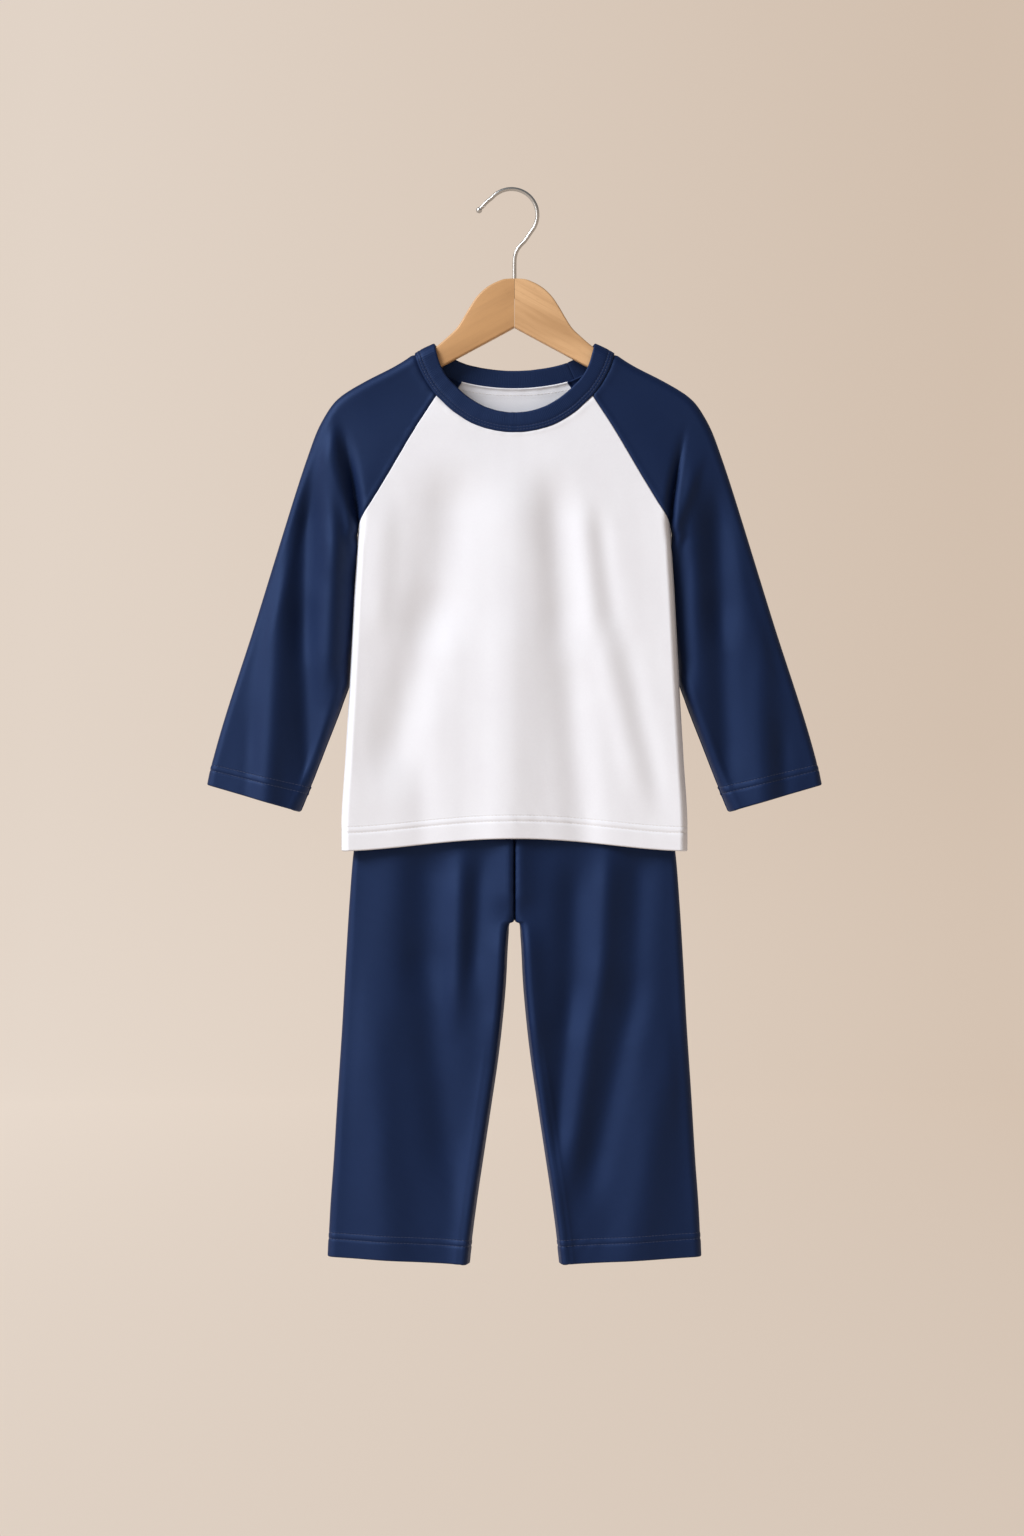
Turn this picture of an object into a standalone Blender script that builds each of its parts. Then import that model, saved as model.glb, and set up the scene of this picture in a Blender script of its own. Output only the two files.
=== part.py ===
"""
Child's pyjama set, a raglan top with its trousers hung inside it, on a wooden hanger.

Metres, +Z up. The front faces -Y, and +X is to the right as seen from the front.
The origin is the inner side of the hook's crown, where the set hangs.
Sizes are millimetres until a mesh is made. In the tables, side is the distance from the
middle line and drop is the distance below the origin. Left and right are as seen from the front.
"""
import math

import bmesh
import bpy
import numpy as np

MM = 0.001
FRONT, BACK = -1, 1

# Cloth
CLOTH = 1.8
HEM_CLOTH = 2.6
RIB = 2.8
RIB_LIFT = 0.5
GAP = 0.3

# Heights of the garment, as drops below the hook's crown
FRONT_RAGLAN_TOP = 184.8
BACK_RAGLAN_TOP = 171.7
UNDERARM = 304.2
TOP_HEM = 594.0
HEM_ARCH = 11.0
HEM_ARCH_START = 430.0
CUFF = 558.9
WAIST = 459.0
WAISTBAND_LOW = 484.0
TROUSER_HEM = 966.0
HEM_DEPTH = 22.0
# The cloth doubles within this much of a hem's upper edge
HEM_TURN = 0.8

# Rounding of the cloth where it turns to the back
SHOULDER_ROLL = 7.3
SLEEVE_ROLL = 10.0
SIDE_ROLL = 12.0
UNDERARM_ROLL = 10.0
LEG_ROLL = 10.0
INSEAM_ROLL = 11.0

# How far inside an edge the cloth reaches its full depth, and its folds their full height
TOP_FILL = 60.0
LEG_FILL = 50.0
SLEEVE_BLEND = 22.0
FOLD_INSET = {"raglan": 24.0, "shoulder": 18.0, "leg_outer": 20.0, "leg_inner": 14.0}
# The top's depth lessens by this share from the middle to the width given
SIDE_THINNING = (0.1, 150.0)

# Drops over which a form comes in, each from its start over its length
SLEEVE_ROLL_IN = (185.0, 110.0)
DEEP_FOLD_IN = (205.0, 98.0)
SLEEVE_SET_BACK = 4.0
SLEEVE_SET_BACK_IN = (UNDERARM, 45.0)
WAIST_SET_BACK = 2.9
WAIST_SET_BACK_OUT = (WAIST, 140.0)
LEG_HEM_SLANT = 6.5
LEG_HEM_SLANT_IN = (700.0, TROUSER_HEM - 700.0)

# Below the underarm the body's side and the sleeve part this much further out than the fold
PARTING = 1.05
PARTING_IN = (UNDERARM, 6.0)
# Half of the gap at the raglan seam, and what it grows by where four pieces meet
SEAM_HALF = 0.175
SEAM_WIDENING = 0.25

# Hanger and hook
WOOD_HALF = 5.5
WIRE = 3.6
BALL = 5.4
HOOK_RADIUS = 23.4
HOOK_OFFSET = -2.7
SHANK_LOW = 97.0

# Where the rows meet the raglan seam: 0 at the neck seam, 1 at the underarm
RAGLAN_ROWS = (0.0012, 0.12, 0.25, 0.38, 0.51, 0.63, 0.75, 0.86, 0.94, 1.0)


def table(columns, *values):
    """A short table with named columns."""
    return {name: np.array(column, float) for name, column in zip(columns.split(), zip(*values))}


NECK_FRONT = table(
    "part side drop inner_side inner_drop",
    (0.0, 0.0, 217.4, 0.0, 199.7),
    (0.152, 12.0, 216.6, 10.2, 199.0),
    (0.41, 31.8, 211.8, 25.1, 195.0),
    (0.717, 52.9, 199.9, 42.5, 184.9),
    (1.0, 69.4, FRONT_RAGLAN_TOP, 57.5, 171.0))
NECK_BACK = table(
    "part side drop inner_side inner_drop",
    (0.0, 0.0, 177.8, 0.0, 162.0),
    (0.513, 25.0, 176.6, 24.0, 160.8),
    (1.0, 48.2, BACK_RAGLAN_TOP, 43.0, 156.3))
NECK_POINT = (88.7, 147.6)
BAND_POINT = (72.0, 139.5)
# Control points of the neck's outer and inner line between the raglan seam and the shoulder
NECK_BEND = {FRONT: ((84.5, 166.0), (69.0, 157.5)), BACK: ((70.0, 163.5), (60.0, 150.5))}

RAGLAN = {
    FRONT: table("side drop", (69.4, FRONT_RAGLAN_TOP), (88.7, 214.5), (111.2, 255.3),
                 (127.1, 279.1), (137.6, 296.3), (140.5, UNDERARM)),
    BACK: table("side drop", (48.2, BACK_RAGLAN_TOP), (72.0, 205.0), (104.0, 250.0),
                (126.0, 280.0), (137.4, 296.5), (140.5, UNDERARM))}

# Fold along the shoulder and the sleeve's outer side
SHOULDER_LINE = table(
    "side drop",
    (58.0, 132.7), BAND_POINT, NECK_POINT, (108.5, 159.3), (133.7, 172.2), (153.5, 184.0),
    (161.4, 190.8), (168.0, 199.8), (177.0, 216.5), (185.5, 239.4), (193.5, 263.0),
    (232.0, 386.5), (272.4, 517.0), (276.2, 535.0))

# Deep fold from the shoulder to the underarm, then the body's side or the sleeve's inner edge
BODY_EDGE = table(
    "drop side",
    (205.0, 157.0), (216.0, 154.0), (261.0, 146.0), (UNDERARM, 140.5), (370.0, 143.7),
    (446.0, 147.7), (513.0, 151.6), (574.0, 155.0), (TOP_HEM, 155.0))
SLEEVE_EDGE = table(
    "drop side",
    (205.0, 157.0), (216.0, 154.0), (261.0, 146.0), (UNDERARM, 140.6), (312.0, 143.2),
    (345.0, 144.8), (400.0, 147.4), (440.0, 149.6), (460.0, 154.6), (500.0, 170.0),
    (537.3, 184.6), (CUFF, 193.5))
# How much higher a sleeve's row meets the outer fold than its inner edge
SLEEVE_RISE = table(
    "drop rise", (UNDERARM, 19.2), (345.0, 25.0), (400.0, 29.0), (450.0, 30.0), (500.0, 26.0),
    (537.3, 20.5), (CUFF, 24.0))

# Half of the depth from front to back
BODY_DEPTH = table(
    "drop depth", (130.0, 7.4), (170.0, 8.2), (217.0, 11.0), (260.0, 13.5), (UNDERARM, 14.5),
    (446.0, 15.0), (TOP_HEM, 15.8))
SLEEVE_DEPTH = table(
    "drop depth", (180.0, 8.0), (240.0, 12.5), (340.0, 12.0), (450.0, 11.5), (CUFF, 12.0))
LEG_DEPTH = table(
    "drop depth roll", (WAIST, 6.5, 6.3), (560.0, 8.0, 7.5), (594.0, 8.6, 8.0), (640.0, 10.6, 9.5),
    (700.0, 12.0, LEG_ROLL), (TROUSER_HEM, 11.5, LEG_ROLL))
LEG_OUTER = table(
    "drop side", (WAIST, 112.0), (484.0, 114.0), (520.0, 125.0), (560.0, 137.0), (594.0, 144.0),
    (639.0, 147.8), (695.0, 151.3), (751.0, 154.4), (818.0, 158.8), (874.0, 162.2),
    (919.0, 165.4), (TROUSER_HEM, 167.6))
LEG_INNER = table(
    "drop side", (WAIST, 0.15), (658.0, 0.15), (660.0, 3.2), (664.0, 5.2), (670.5, 6.0),
    (684.0, 6.9), (711.0, 8.2), (747.0, 11.3), (783.0, 15.5), (819.0, 20.8), (864.0, 27.6),
    (909.0, 34.3), (945.0, 39.0), (TROUSER_HEM, 41.3))
CROTCH_START = {FRONT: 636.0, BACK: 640.0}
CROTCH_END = 660.0

# Largest folds, a row for each: its two ends, half width and height (a trough is negative)
FOLD = "x drop to_x to_drop width rise"
TOP_FOLDS = {
    FRONT: table(
        FOLD, (18, 320, 23, 440, 15, -4.5), (23, 410, 18, 590, 17, -3.5),
        (-22, 325, -25, 585, 17, 2.5), (-80, 305, -116, 400, 13, -4.0),
        (-116, 370, -132, 510, 13, -3.0), (-47, 410, -124, 540, 12, -2.2),
        (57, 305, 90, 415, 13, -3.0), (88, 390, 135, 550, 14, -3.2), (86, 315, 131, 420, 11, -2.4),
        (60, 430, 70, 590, 18, 2.0)),
    BACK: table(
        FOLD, (-14, 300, -20, 450, 16, -3.6), (-20, 430, -8, 590, 18, -3.0),
        (34, 330, 38, 585, 17, 2.4), (82, 310, 112, 410, 13, -3.6),
        (112, 385, 130, 530, 14, -2.8), (-70, 305, -104, 420, 13, -3.0),
        (-98, 400, -128, 545, 13, -2.6))}
SLEEVE_FOLDS = {
    FRONT: table(
        FOLD, (-172, 222, -184, 400, 10, 2.2), (-190, 290, -206, 430, 9, -2.6),
        (-206, 400, -212, 540, 9, -2.2), (172, 222, 186, 400, 10, 2.2),
        (204, 320, 212, 470, 10, 2.2), (172, 330, 196, 470, 9, -2.6),
        (226, 420, 232, 540, 9, -2.0)),
    BACK: table(
        FOLD, (-170, 240, -190, 400, 10, 2.0), (-196, 330, -222, 500, 10, -2.6),
        (170, 240, 188, 390, 10, 2.0), (186, 330, 214, 500, 10, -2.6))}
LEG_FOLDS = {
    FRONT: table(
        FOLD, (-103, 600, -86, 800, 15, -3.2), (-86, 770, -80, 930, 14, -2.4),
        (-24, 680, -54, 880, 10, 2.2), (-64, 640, -66, 790, 12, 1.6),
        (97, 600, 80, 760, 15, -3.2), (80, 735, 64, 900, 14, -2.6),
        (30, 660, 40, 760, 9, -2.4), (120, 640, 118, 830, 14, 1.8)),
    BACK: table(
        FOLD, (-98, 600, -90, 830, 16, -3.0), (-120, 700, -126, 900, 12, 1.8),
        (100, 600, 88, 830, 16, -3.0), (60, 680, 66, 880, 12, 1.8))}

# Drops of the rows of cloth below the raglan seam, down to the hem
TOP_ROWS = (310.0, 320.0, 338.0, 365.0, 395.0, 425.0, 455.0, 485.0, 515.0, 545.0)
SLEEVE_ROWS = (312.0, 325.0, 345.0, 370.0, 400.0, 430.0, 450.0, 475.0, 505.0)
LEG_ROWS = (WAISTBAND_LOW + GAP, 520.0, 560.0, 594.0, 620.0, 637.0, 645.0, 653.0, 658.0, 661.0,
            670.0, 686.0, 715.0, 755.0, 800.0, 845.0, 895.0)

# The wooden arm's sections, each from its top line to its lower line
ARM = table(
    "top_side top_drop low_side low_drop",
    (0.15, 79.0, 0.15, 124.5), (8.5, 79.8, 7.0, 128.3), (16.5, 82.6, 13.5, 131.8),
    (24.5, 86.8, 20.0, 135.3), (33.0, 94.5, 27.0, 139.1), (40.3, 105.0, 34.0, 142.8),
    (46.0, 114.8, 41.0, 146.6), (52.0, 124.0, 48.0, 150.4), (60.5, 132.0, 56.0, 154.6),
    (73.0, 142.2, 65.0, 159.5), (88.7, 149.7, 81.0, 168.0), (108.5, 161.1, 101.0, 178.4),
    (133.7, 174.4, 127.0, 191.6), (149.0, 184.8, 143.0, 199.2), (155.5, 190.6, 150.5, 201.0))

# How square an arm's section is, and the point that rounds off its end
ARM_CORNER = 0.62
ARM_TIP = (3.0, -1.6)

# The hook's bent wire below and beyond its round crown, from the wood up
HOOK_STEM = ((0.0, SHANK_LOW), (0.0, 88.0), (0.0, 79.0), (0.0, 70.0), (0.0, 62.0), (1.6, 54.2),
             (8.6, 45.6))
HOOK_TIP = ((-22.6, 7.8), (-27.4, 12.4), (-30.5, 15.7))
# The ball's rings: how far past the wire's end, and the share of the ball's radius
BALL_PROFILE = ((0.5, 0.87), (1.9, 1.0), (3.4, 0.87), (4.4, 0.5))

NAVY = (0.012, 0.022, 0.075)
WHITE = (0.80, 0.79, 0.78)
WOOD_COLOUR = (0.58, 0.36, 0.18)
STEEL = (0.55, 0.55, 0.54)


def ease(value):
    """0 below 0, 1 above 1 and a smooth step between."""
    value = np.clip(value, 0.0, 1.0)
    return value * value * (3.0 - 2.0 * value)


def comes_in(drop, start_and_length):
    """0 above the start and 1 below the length."""
    start, length = start_and_length
    return ease((drop - start) / length)


def read(rows, column, key, at):
    """Read one column at values of another, on a smooth curve with no overshoot."""
    x, y = rows[key], rows[column]
    step = np.diff(x)
    slope = np.diff(y) / step
    tangent = np.concatenate(([slope[0]], np.zeros(len(x) - 2), [slope[-1]]))
    product = slope[:-1] * slope[1:]
    bends = product > 0
    tangent[1:-1][bends] = 2.0 * product[bends] / (slope[:-1] + slope[1:])[bends]
    at = np.clip(at, x[0], x[-1])
    i = np.clip(np.searchsorted(x, at, side="right") - 1, 0, len(x) - 2)
    t = (at - x[i]) / step[i]
    return (y[i] * (1 + 2 * t) * (1 - t) ** 2 + y[i + 1] * t * t * (3 - 2 * t)
            + step[i] * (tangent[i] * t * (1 - t) ** 2 + tangent[i + 1] * t * t * (t - 1)))


def course(rows, count=110):
    """Points on the smooth curve through a table's side and drop."""
    chord = np.hypot(np.diff(rows["side"]), np.diff(rows["drop"]))
    keyed = dict(rows, run=np.concatenate(([0.0], np.cumsum(chord))))
    run = np.linspace(0.0, keyed["run"][-1], count)
    return read(keyed, "side", "run", run), read(keyed, "drop", "run", run)


OUTLINE_SIDE, OUTLINE_DROP = course(SHOULDER_LINE)


def outline_point(drop):
    """The point of the shoulder and sleeve fold at a drop."""
    return np.interp(drop, OUTLINE_DROP, OUTLINE_SIDE), drop


def outline_distance(side, drop):
    """Distance to the shoulder and sleeve fold, and the direction out across it."""
    along_side, along_drop = np.diff(OUTLINE_SIDE), np.diff(OUTLINE_DROP)
    length = np.hypot(along_side, along_drop)
    from_side = side[..., None] - OUTLINE_SIDE[:-1]
    from_drop = drop[..., None] - OUTLINE_DROP[:-1]
    t = np.clip((from_side * along_side + from_drop * along_drop) / length ** 2, 0.0, 1.0)
    distance = np.hypot(from_side - t * along_side, from_drop - t * along_drop)
    nearest = distance.argmin(-1)
    out = np.stack((along_drop, np.zeros_like(length), along_side), -1) / length[:, None]
    return np.take_along_axis(distance, nearest[..., None], -1)[..., 0], out[nearest]


def creases(x, drop, rows):
    """Height that the ridges and troughs of a table add."""
    total = np.zeros_like(x)
    for x0, d0, x1, d1, width, rise in zip(*(rows[name] for name in FOLD.split())):
        run = math.hypot(x1 - x0, d1 - d0)
        t = ((x - x0) * (x1 - x0) + (drop - d0) * (d1 - d0)) / run ** 2
        off = ((x - x0) * (d1 - d0) - (drop - d0) * (x1 - x0)) / run
        ends = ease((t + 0.15) / 0.4) * ease((1.15 - t) / 0.4)
        total += rise * np.exp(-(off / width) ** 2) * ends
    return total


def dip(distance, width):
    """1 at an edge, falling to 0 a width away from it."""
    return np.clip(1.0 - distance / width, 0.0, 1.0) ** 2


def cloth(x, drop, face, level, gap, roll, out, centre):
    """Middle of the wall and its outward normal, where level is the depth inside the fold.

    The cloth turns to the back round a fold: gap is the distance to it, roll its radius and
    out the direction across it.
    """
    step = 0.8
    turn = np.clip(1.0 - gap / roll, 0.0, 1.0)
    flat = np.sqrt(1.0 - turn ** 2)
    slope_x = (level(x + step, drop) - level(x - step, drop)) / (2 * step)
    slope_drop = (level(x, drop + step) - level(x, drop - step)) / (2 * step)
    normal = np.stack((-slope_x, np.full_like(x, face), slope_drop), -1)
    normal /= np.linalg.norm(normal, axis=-1, keepdims=True)
    normal = flat[..., None] * normal + turn[..., None] * out
    normal /= np.linalg.norm(normal, axis=-1, keepdims=True)
    depth = level(x, drop) - (1.0 - flat) * roll
    middle = np.stack((x, centre + face * depth, -drop), -1)
    return middle, normal


def sleeve_centre(drop):
    """The sleeve hangs a little behind the body's side."""
    return SLEEVE_SET_BACK * comes_in(drop, SLEEVE_SET_BACK_IN)


def waist_centre(drop):
    """The waist is tacked to the inside of the top's back, and the legs hang to the middle."""
    return WAIST_SET_BACK * (1.0 - comes_in(drop, WAIST_SET_BACK_OUT))


def top_cloth(x, drop, face, sleeve=False):
    """The top's front or back: body, raglan and sleeve are one surface down to the underarm."""
    edge = SLEEVE_EDGE if sleeve else BODY_EDGE

    def roll_at(at_drop):
        return SHOULDER_ROLL + (SLEEVE_ROLL - SHOULDER_ROLL) * comes_in(at_drop, SLEEVE_ROLL_IN)

    def level(at_x, at_drop):
        side = np.abs(at_x)
        beyond = side - read(edge, "side", "drop", at_drop)
        thinning, at_width = SIDE_THINNING
        full = read(BODY_DEPTH, "depth", "drop", at_drop) * (1.0 - thinning * (side / at_width) ** 2)
        sleeve_depth = read(SLEEVE_DEPTH, "depth", "drop", at_drop)
        full += (sleeve_depth - full) * ease(beyond / SLEEVE_BLEND)
        distance, _ = outline_distance(side, at_drop)
        roll = roll_at(at_drop)
        depth = roll + (full - roll) * ease(distance / TOP_FILL)
        deep = comes_in(at_drop, DEEP_FOLD_IN)
        width = np.where(beyond > 0, UNDERARM_ROLL, SIDE_ROLL)
        swell = np.where(beyond > 0, creases(at_x, at_drop, SLEEVE_FOLDS[face]),
                         creases(at_x, at_drop, TOP_FOLDS[face]))
        swell *= ease(np.abs(beyond) / FOLD_INSET["raglan"])
        swell *= ease(distance / FOLD_INSET["shoulder"])
        return (depth + swell) * (1.0 - deep * dip(np.abs(beyond), width))

    gap, out = outline_distance(np.abs(x), drop)
    out = out * np.stack((np.where(x < 0, -1.0, 1.0), np.ones_like(x), np.ones_like(x)), -1)
    centre = sleeve_centre(drop) if sleeve else 0.0
    return cloth(x, drop, face, level, gap, roll_at(drop), out, centre)


def leg_cloth(x, drop, face):
    """The trousers' front or back: half of the hips and one leg on each side of the middle."""
    def roll_at(at_drop):
        return read(LEG_DEPTH, "roll", "drop", at_drop)

    def level(at_x, at_drop):
        side = np.abs(at_x)
        inside = side - read(LEG_INNER, "side", "drop", at_drop)
        gap = read(LEG_OUTER, "side", "drop", at_drop) - side
        full, roll = read(LEG_DEPTH, "depth", "drop", at_drop), roll_at(at_drop)
        depth = roll + (full - roll) * ease(gap / LEG_FILL)
        swell = creases(at_x, at_drop, LEG_FOLDS[face]) * ease(gap / FOLD_INSET["leg_outer"])
        depth = depth + swell * ease(inside / FOLD_INSET["leg_inner"])
        parted = ease((at_drop - CROTCH_START[face]) / (CROTCH_END - CROTCH_START[face]))
        return depth * (1.0 - parted * dip(inside, INSEAM_ROLL))

    gap = read(LEG_OUTER, "side", "drop", drop) - np.abs(x)
    out = np.stack((np.where(x < 0, -1.0, 1.0), np.zeros_like(x), np.zeros_like(x)), -1)
    return cloth(x, drop, face, level, np.maximum(gap, 0.0), roll_at(drop), out,
                 waist_centre(drop))


def colour(name, rgb, roughness, metallic=0.0):
    """A plain surface finish."""
    material = bpy.data.materials.new(name)
    material.use_nodes = True
    shader = material.node_tree.nodes["Principled BSDF"]
    shader.inputs["Base Color"].default_value = (*rgb, 1.0)
    shader.inputs["Roughness"].default_value = roughness
    shader.inputs["Metallic"].default_value = metallic
    return material


def add_object(name, mesh, material):
    """Link a finished mesh to the scene as one smooth-shaded piece."""
    mesh.materials.append(material)
    mesh.shade_smooth()
    mesh.set_sharp_from_angle(angle=math.radians(50))
    piece = bpy.data.objects.new(name, mesh)
    bpy.context.scene.collection.objects.link(piece)
    return piece


def wall(name, outer, inner, material, ring=False):
    """A closed wall between two grids of points, [row, column]; a ring joins its last column."""
    count, width = outer.shape[:2]
    form = bmesh.new()
    skins = [[[form.verts.new(point * MM) for point in row] for row in grid]
             for grid in (outer, inner)]
    last = width if ring else width - 1
    for skin in skins:
        for i in range(count - 1):
            for j in range(last):
                k = (j + 1) % width
                form.faces.new((skin[i][j], skin[i][k], skin[i + 1][k], skin[i + 1][j]))
    face, lining = skins
    for i in (0, count - 1):
        for j in range(last):
            k = (j + 1) % width
            form.faces.new((face[i][j], face[i][k], lining[i][k], lining[i][j]))
    for j in () if ring else (0, width - 1):
        for i in range(count - 1):
            form.faces.new((face[i][j], face[i + 1][j], lining[i + 1][j], lining[i][j]))
    bmesh.ops.recalc_face_normals(form, faces=form.faces)
    mesh = bpy.data.meshes.new(name)
    form.to_mesh(mesh)
    form.free()
    return add_object(name, mesh, material)


def skins_of(middle, normal, thickness):
    """Outer and inner points of a wall, given its thickness at each row."""
    half = np.asarray(thickness, float)[:, None, None] / 2
    return middle + normal * half, middle - normal * half


def bend(start, control, end, t):
    """Points on a quadratic curve in side and drop."""
    start, control, end = (np.array(p, float) for p in (start, control, end))
    t = np.asarray(t)[:, None]
    return start * (1 - t) ** 2 + control * 2 * t * (1 - t) + end * t ** 2


def across(length, roll):
    """Column places over half of a sleeve or leg, from its seam to its fold, closer at both."""
    near = np.array([0.0, 1.6, 4.5, 9.0])
    round_fold = length - roll * (1.0 - np.cos(np.radians([90.0, 60.0, 30.0, 0.0])))
    between = np.linspace(near[-1], round_fold[0], 5)[1:-1]
    return np.concatenate((near, between, round_fold)) / length


BODY_COLUMNS = np.array([0.0, 0.16, 0.32, 0.48, 0.64, 0.78, 0.89, 0.95, 0.985, 1.0])
HEM_ROWS = {name: (hem - HEM_DEPTH - HEM_TURN, hem - HEM_DEPTH + HEM_TURN, hem)
            for name, hem in (("top", TOP_HEM), ("sleeve", CUFF), ("leg", TROUSER_HEM))}


def row_thickness(drops, hem):
    """Cloth is double in a hem."""
    return np.where(np.asarray(drops) > HEM_ROWS[hem][0] + 0.1, HEM_CLOTH, CLOTH)


def seam_gap(part):
    """Half of the gap at the raglan seam, a little wider where four pieces meet."""
    return SEAM_HALF + SEAM_WIDENING * part ** 6


def raglan_point(part, face):
    """A point of the raglan seam."""
    top = RAGLAN[face]["drop"][0]
    drop = top + part * (UNDERARM - top)
    return read(RAGLAN[face], "side", "drop", drop), drop


def parting_side(drop):
    """Where the body's side and the sleeve's inner edge lie against each other."""
    return read(BODY_EDGE, "side", "drop", drop) + PARTING * comes_in(drop, PARTING_IN)


def top_panel(name, face, neck, material):
    """Front or back of the top, from the neck seam to the hem."""
    columns = np.concatenate((-BODY_COLUMNS[:0:-1], BODY_COLUMNS))
    spread = np.abs(columns)
    sign = np.sign(columns)
    neck_side, neck_drop = read(neck, "side", "part", spread), read(neck, "drop", "part", spread)
    x_rows, drop_rows = [], []
    for part in RAGLAN_ROWS:
        side, drop = raglan_point(part, face)
        shape = spread * part + neck_side / neck_side[-1] * (1 - part)
        x_rows.append(sign * shape * (side - seam_gap(part)))
        drop_rows.append(drop + (neck_drop - neck_drop[-1]) * (1 - part))
    for drop in (*TOP_ROWS, *HEM_ROWS["top"]):
        side = read(BODY_EDGE, "side", "drop", drop)
        arch = HEM_ARCH * (1 - spread ** 2) ** 2 * comes_in(
            drop, (HEM_ARCH_START, TOP_HEM - HEM_ARCH_START))
        x_rows.append(sign * spread * side)
        drop_rows.append(drop - arch)
    x, drop = np.array(x_rows), np.array(drop_rows)
    middle, normal = top_cloth(x, drop, face)
    outer, inner = skins_of(middle, normal, row_thickness(drop[:, 0], "top"))
    for skin in (outer, inner):
        skin[..., 1] = face * np.maximum(face * skin[..., 1], GAP / 2)
        below = drop >= UNDERARM - 0.01
        limit = parting_side(drop) - GAP / 2
        skin[..., 0] = np.where(below, np.clip(skin[..., 0], -limit, limit), skin[..., 0])
    return wall(name, outer, inner, material)


def sleeve_panel(name, hand, material):
    """A sleeve, from its front raglan and underarm seams round the fold to its back ones."""
    halves = {FRONT: [], BACK: []}
    drops = []
    neck_run, tip_run = NECK_POINT[1], UNDERARM - SLEEVE_RISE["rise"][0]
    for part in RAGLAN_ROWS:
        # The outer ends of the rows are spaced by drop, closer along the flat shoulder
        outer_end = outline_point(neck_run + (tip_run - neck_run) * (0.72 * part + 0.28 * part ** 2))
        for face, half in halves.items():
            side, drop = raglan_point(part, face)
            start = np.array((side + seam_gap(part), drop))
            end = np.array(outer_end)
            bow = np.array(NECK_BEND[face][0]) - (np.array(raglan_point(0, face))
                                                  + NECK_POINT) / 2
            t = across(np.hypot(*(end - start)), SHOULDER_ROLL)
            half.append(bend(start, (start + end) / 2 + bow * (1 - part) ** 2, end, t))
        drops.append(0.0)
    for drop in (*SLEEVE_ROWS, *HEM_ROWS["sleeve"]):
        start = np.array((read(SLEEVE_EDGE, "side", "drop", drop), drop))
        end = np.array(outline_point(drop - read(SLEEVE_RISE, "rise", "drop", drop)))
        t = across(np.hypot(*(end - start)), SLEEVE_ROLL)
        for half in halves.values():
            half.append(bend(start, (start + end) / 2, end, t))
        drops.append(drop)
    sides = []
    for face, half in halves.items():
        flat = np.array(half)
        middle, normal = top_cloth(hand * flat[..., 0], flat[..., 1], face, sleeve=True)
        centre = sleeve_centre(flat[..., 1])
        outer, inner = skins_of(middle, normal, row_thickness(drops, "sleeve"))
        for skin in (outer, inner):
            away = np.maximum(face * (skin[..., 1] - centre), GAP / 2)
            skin[:, :-1, 1] = (centre + face * away)[:, :-1]
            below = flat[:, :1, 1] >= UNDERARM - 0.01
            limit = parting_side(np.maximum(flat[..., 1], UNDERARM)) + GAP / 2
            side = np.abs(skin[..., 0])
            skin[..., 0] = hand * np.where(below, np.maximum(side, limit), side)
        sides.append((outer, inner))
    outer, inner = (np.concatenate((front, back[:, -2::-1]), 1) for front, back in zip(*sides))
    return wall(name, outer, inner, material)


def neck_stations():
    """Half of the neckband's outer and inner lines, front middle to back middle."""
    stations = []
    for face, neck in ((FRONT, NECK_FRONT), (BACK, NECK_BACK)):
        panel = [(face, read(neck, "side", "part", c), read(neck, "drop", "part", c),
                  read(neck, "inner_side", "part", c), read(neck, "inner_drop", "part", c))
                 for c in BODY_COLUMNS]
        start = np.array(panel[-1][1:3]), np.array(panel[-1][3:5])
        t = across(np.hypot(*(np.array(NECK_POINT) - start[0])), SHOULDER_ROLL)
        lines = [bend(a, b, c, t) for a, b, c in zip(start, NECK_BEND[face],
                                                     (NECK_POINT, BAND_POINT))]
        shoulder = [(face, *outer, *inner) for outer, inner in zip(*lines)]
        stations.append(panel + shoulder[1:])
    return stations[0] + stations[1][-2::-1]


def neckband(name, material):
    """The rib round the neck, from its seam to its folded edge."""
    half = neck_stations()
    loop = [(1, *station) for station in half]
    loop += [(-1, *station) for station in half[-2:0:-1]]
    sign, face, side, drop, inner_side, inner_drop = np.array(loop, float).T
    width = np.hypot(inner_side - side, inner_drop - drop)
    grids = {FRONT: None, BACK: None}
    shares = [(GAP / 2) / width, np.full_like(width, 0.5), np.ones_like(width)]
    x = np.array([sign * (side + (inner_side - side) * share) for share in shares])
    down = np.array([drop + (inner_drop - drop) * share for share in shares])
    for way in grids:
        grids[way] = top_cloth(x, down, way, sleeve=True)
    back = (face > 0)[None, :, None]
    middle = np.where(back, grids[BACK][0], grids[FRONT][0])
    normal = np.where(back, grids[BACK][1], grids[FRONT][1])
    middle = middle + normal * RIB_LIFT
    outer, inner = skins_of(middle, normal, [RIB] * 3)
    return wall(name, outer, inner, material, ring=True)


def leg_half(face, drops):
    """Places of one leg's front or back half, from the crotch seam or inseam to the fold."""
    half = []
    for drop in drops:
        start = np.array((read(LEG_INNER, "side", "drop", drop), drop))
        slant = LEG_HEM_SLANT * comes_in(drop, LEG_HEM_SLANT_IN)
        end = np.array((read(LEG_OUTER, "side", "drop", drop - slant), drop - slant))
        t = across(np.hypot(*(end - start)), read(LEG_DEPTH, "roll", "drop", drop))
        half.append(bend(start, (start + end) / 2, end, t))
    return np.array(half)


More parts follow.
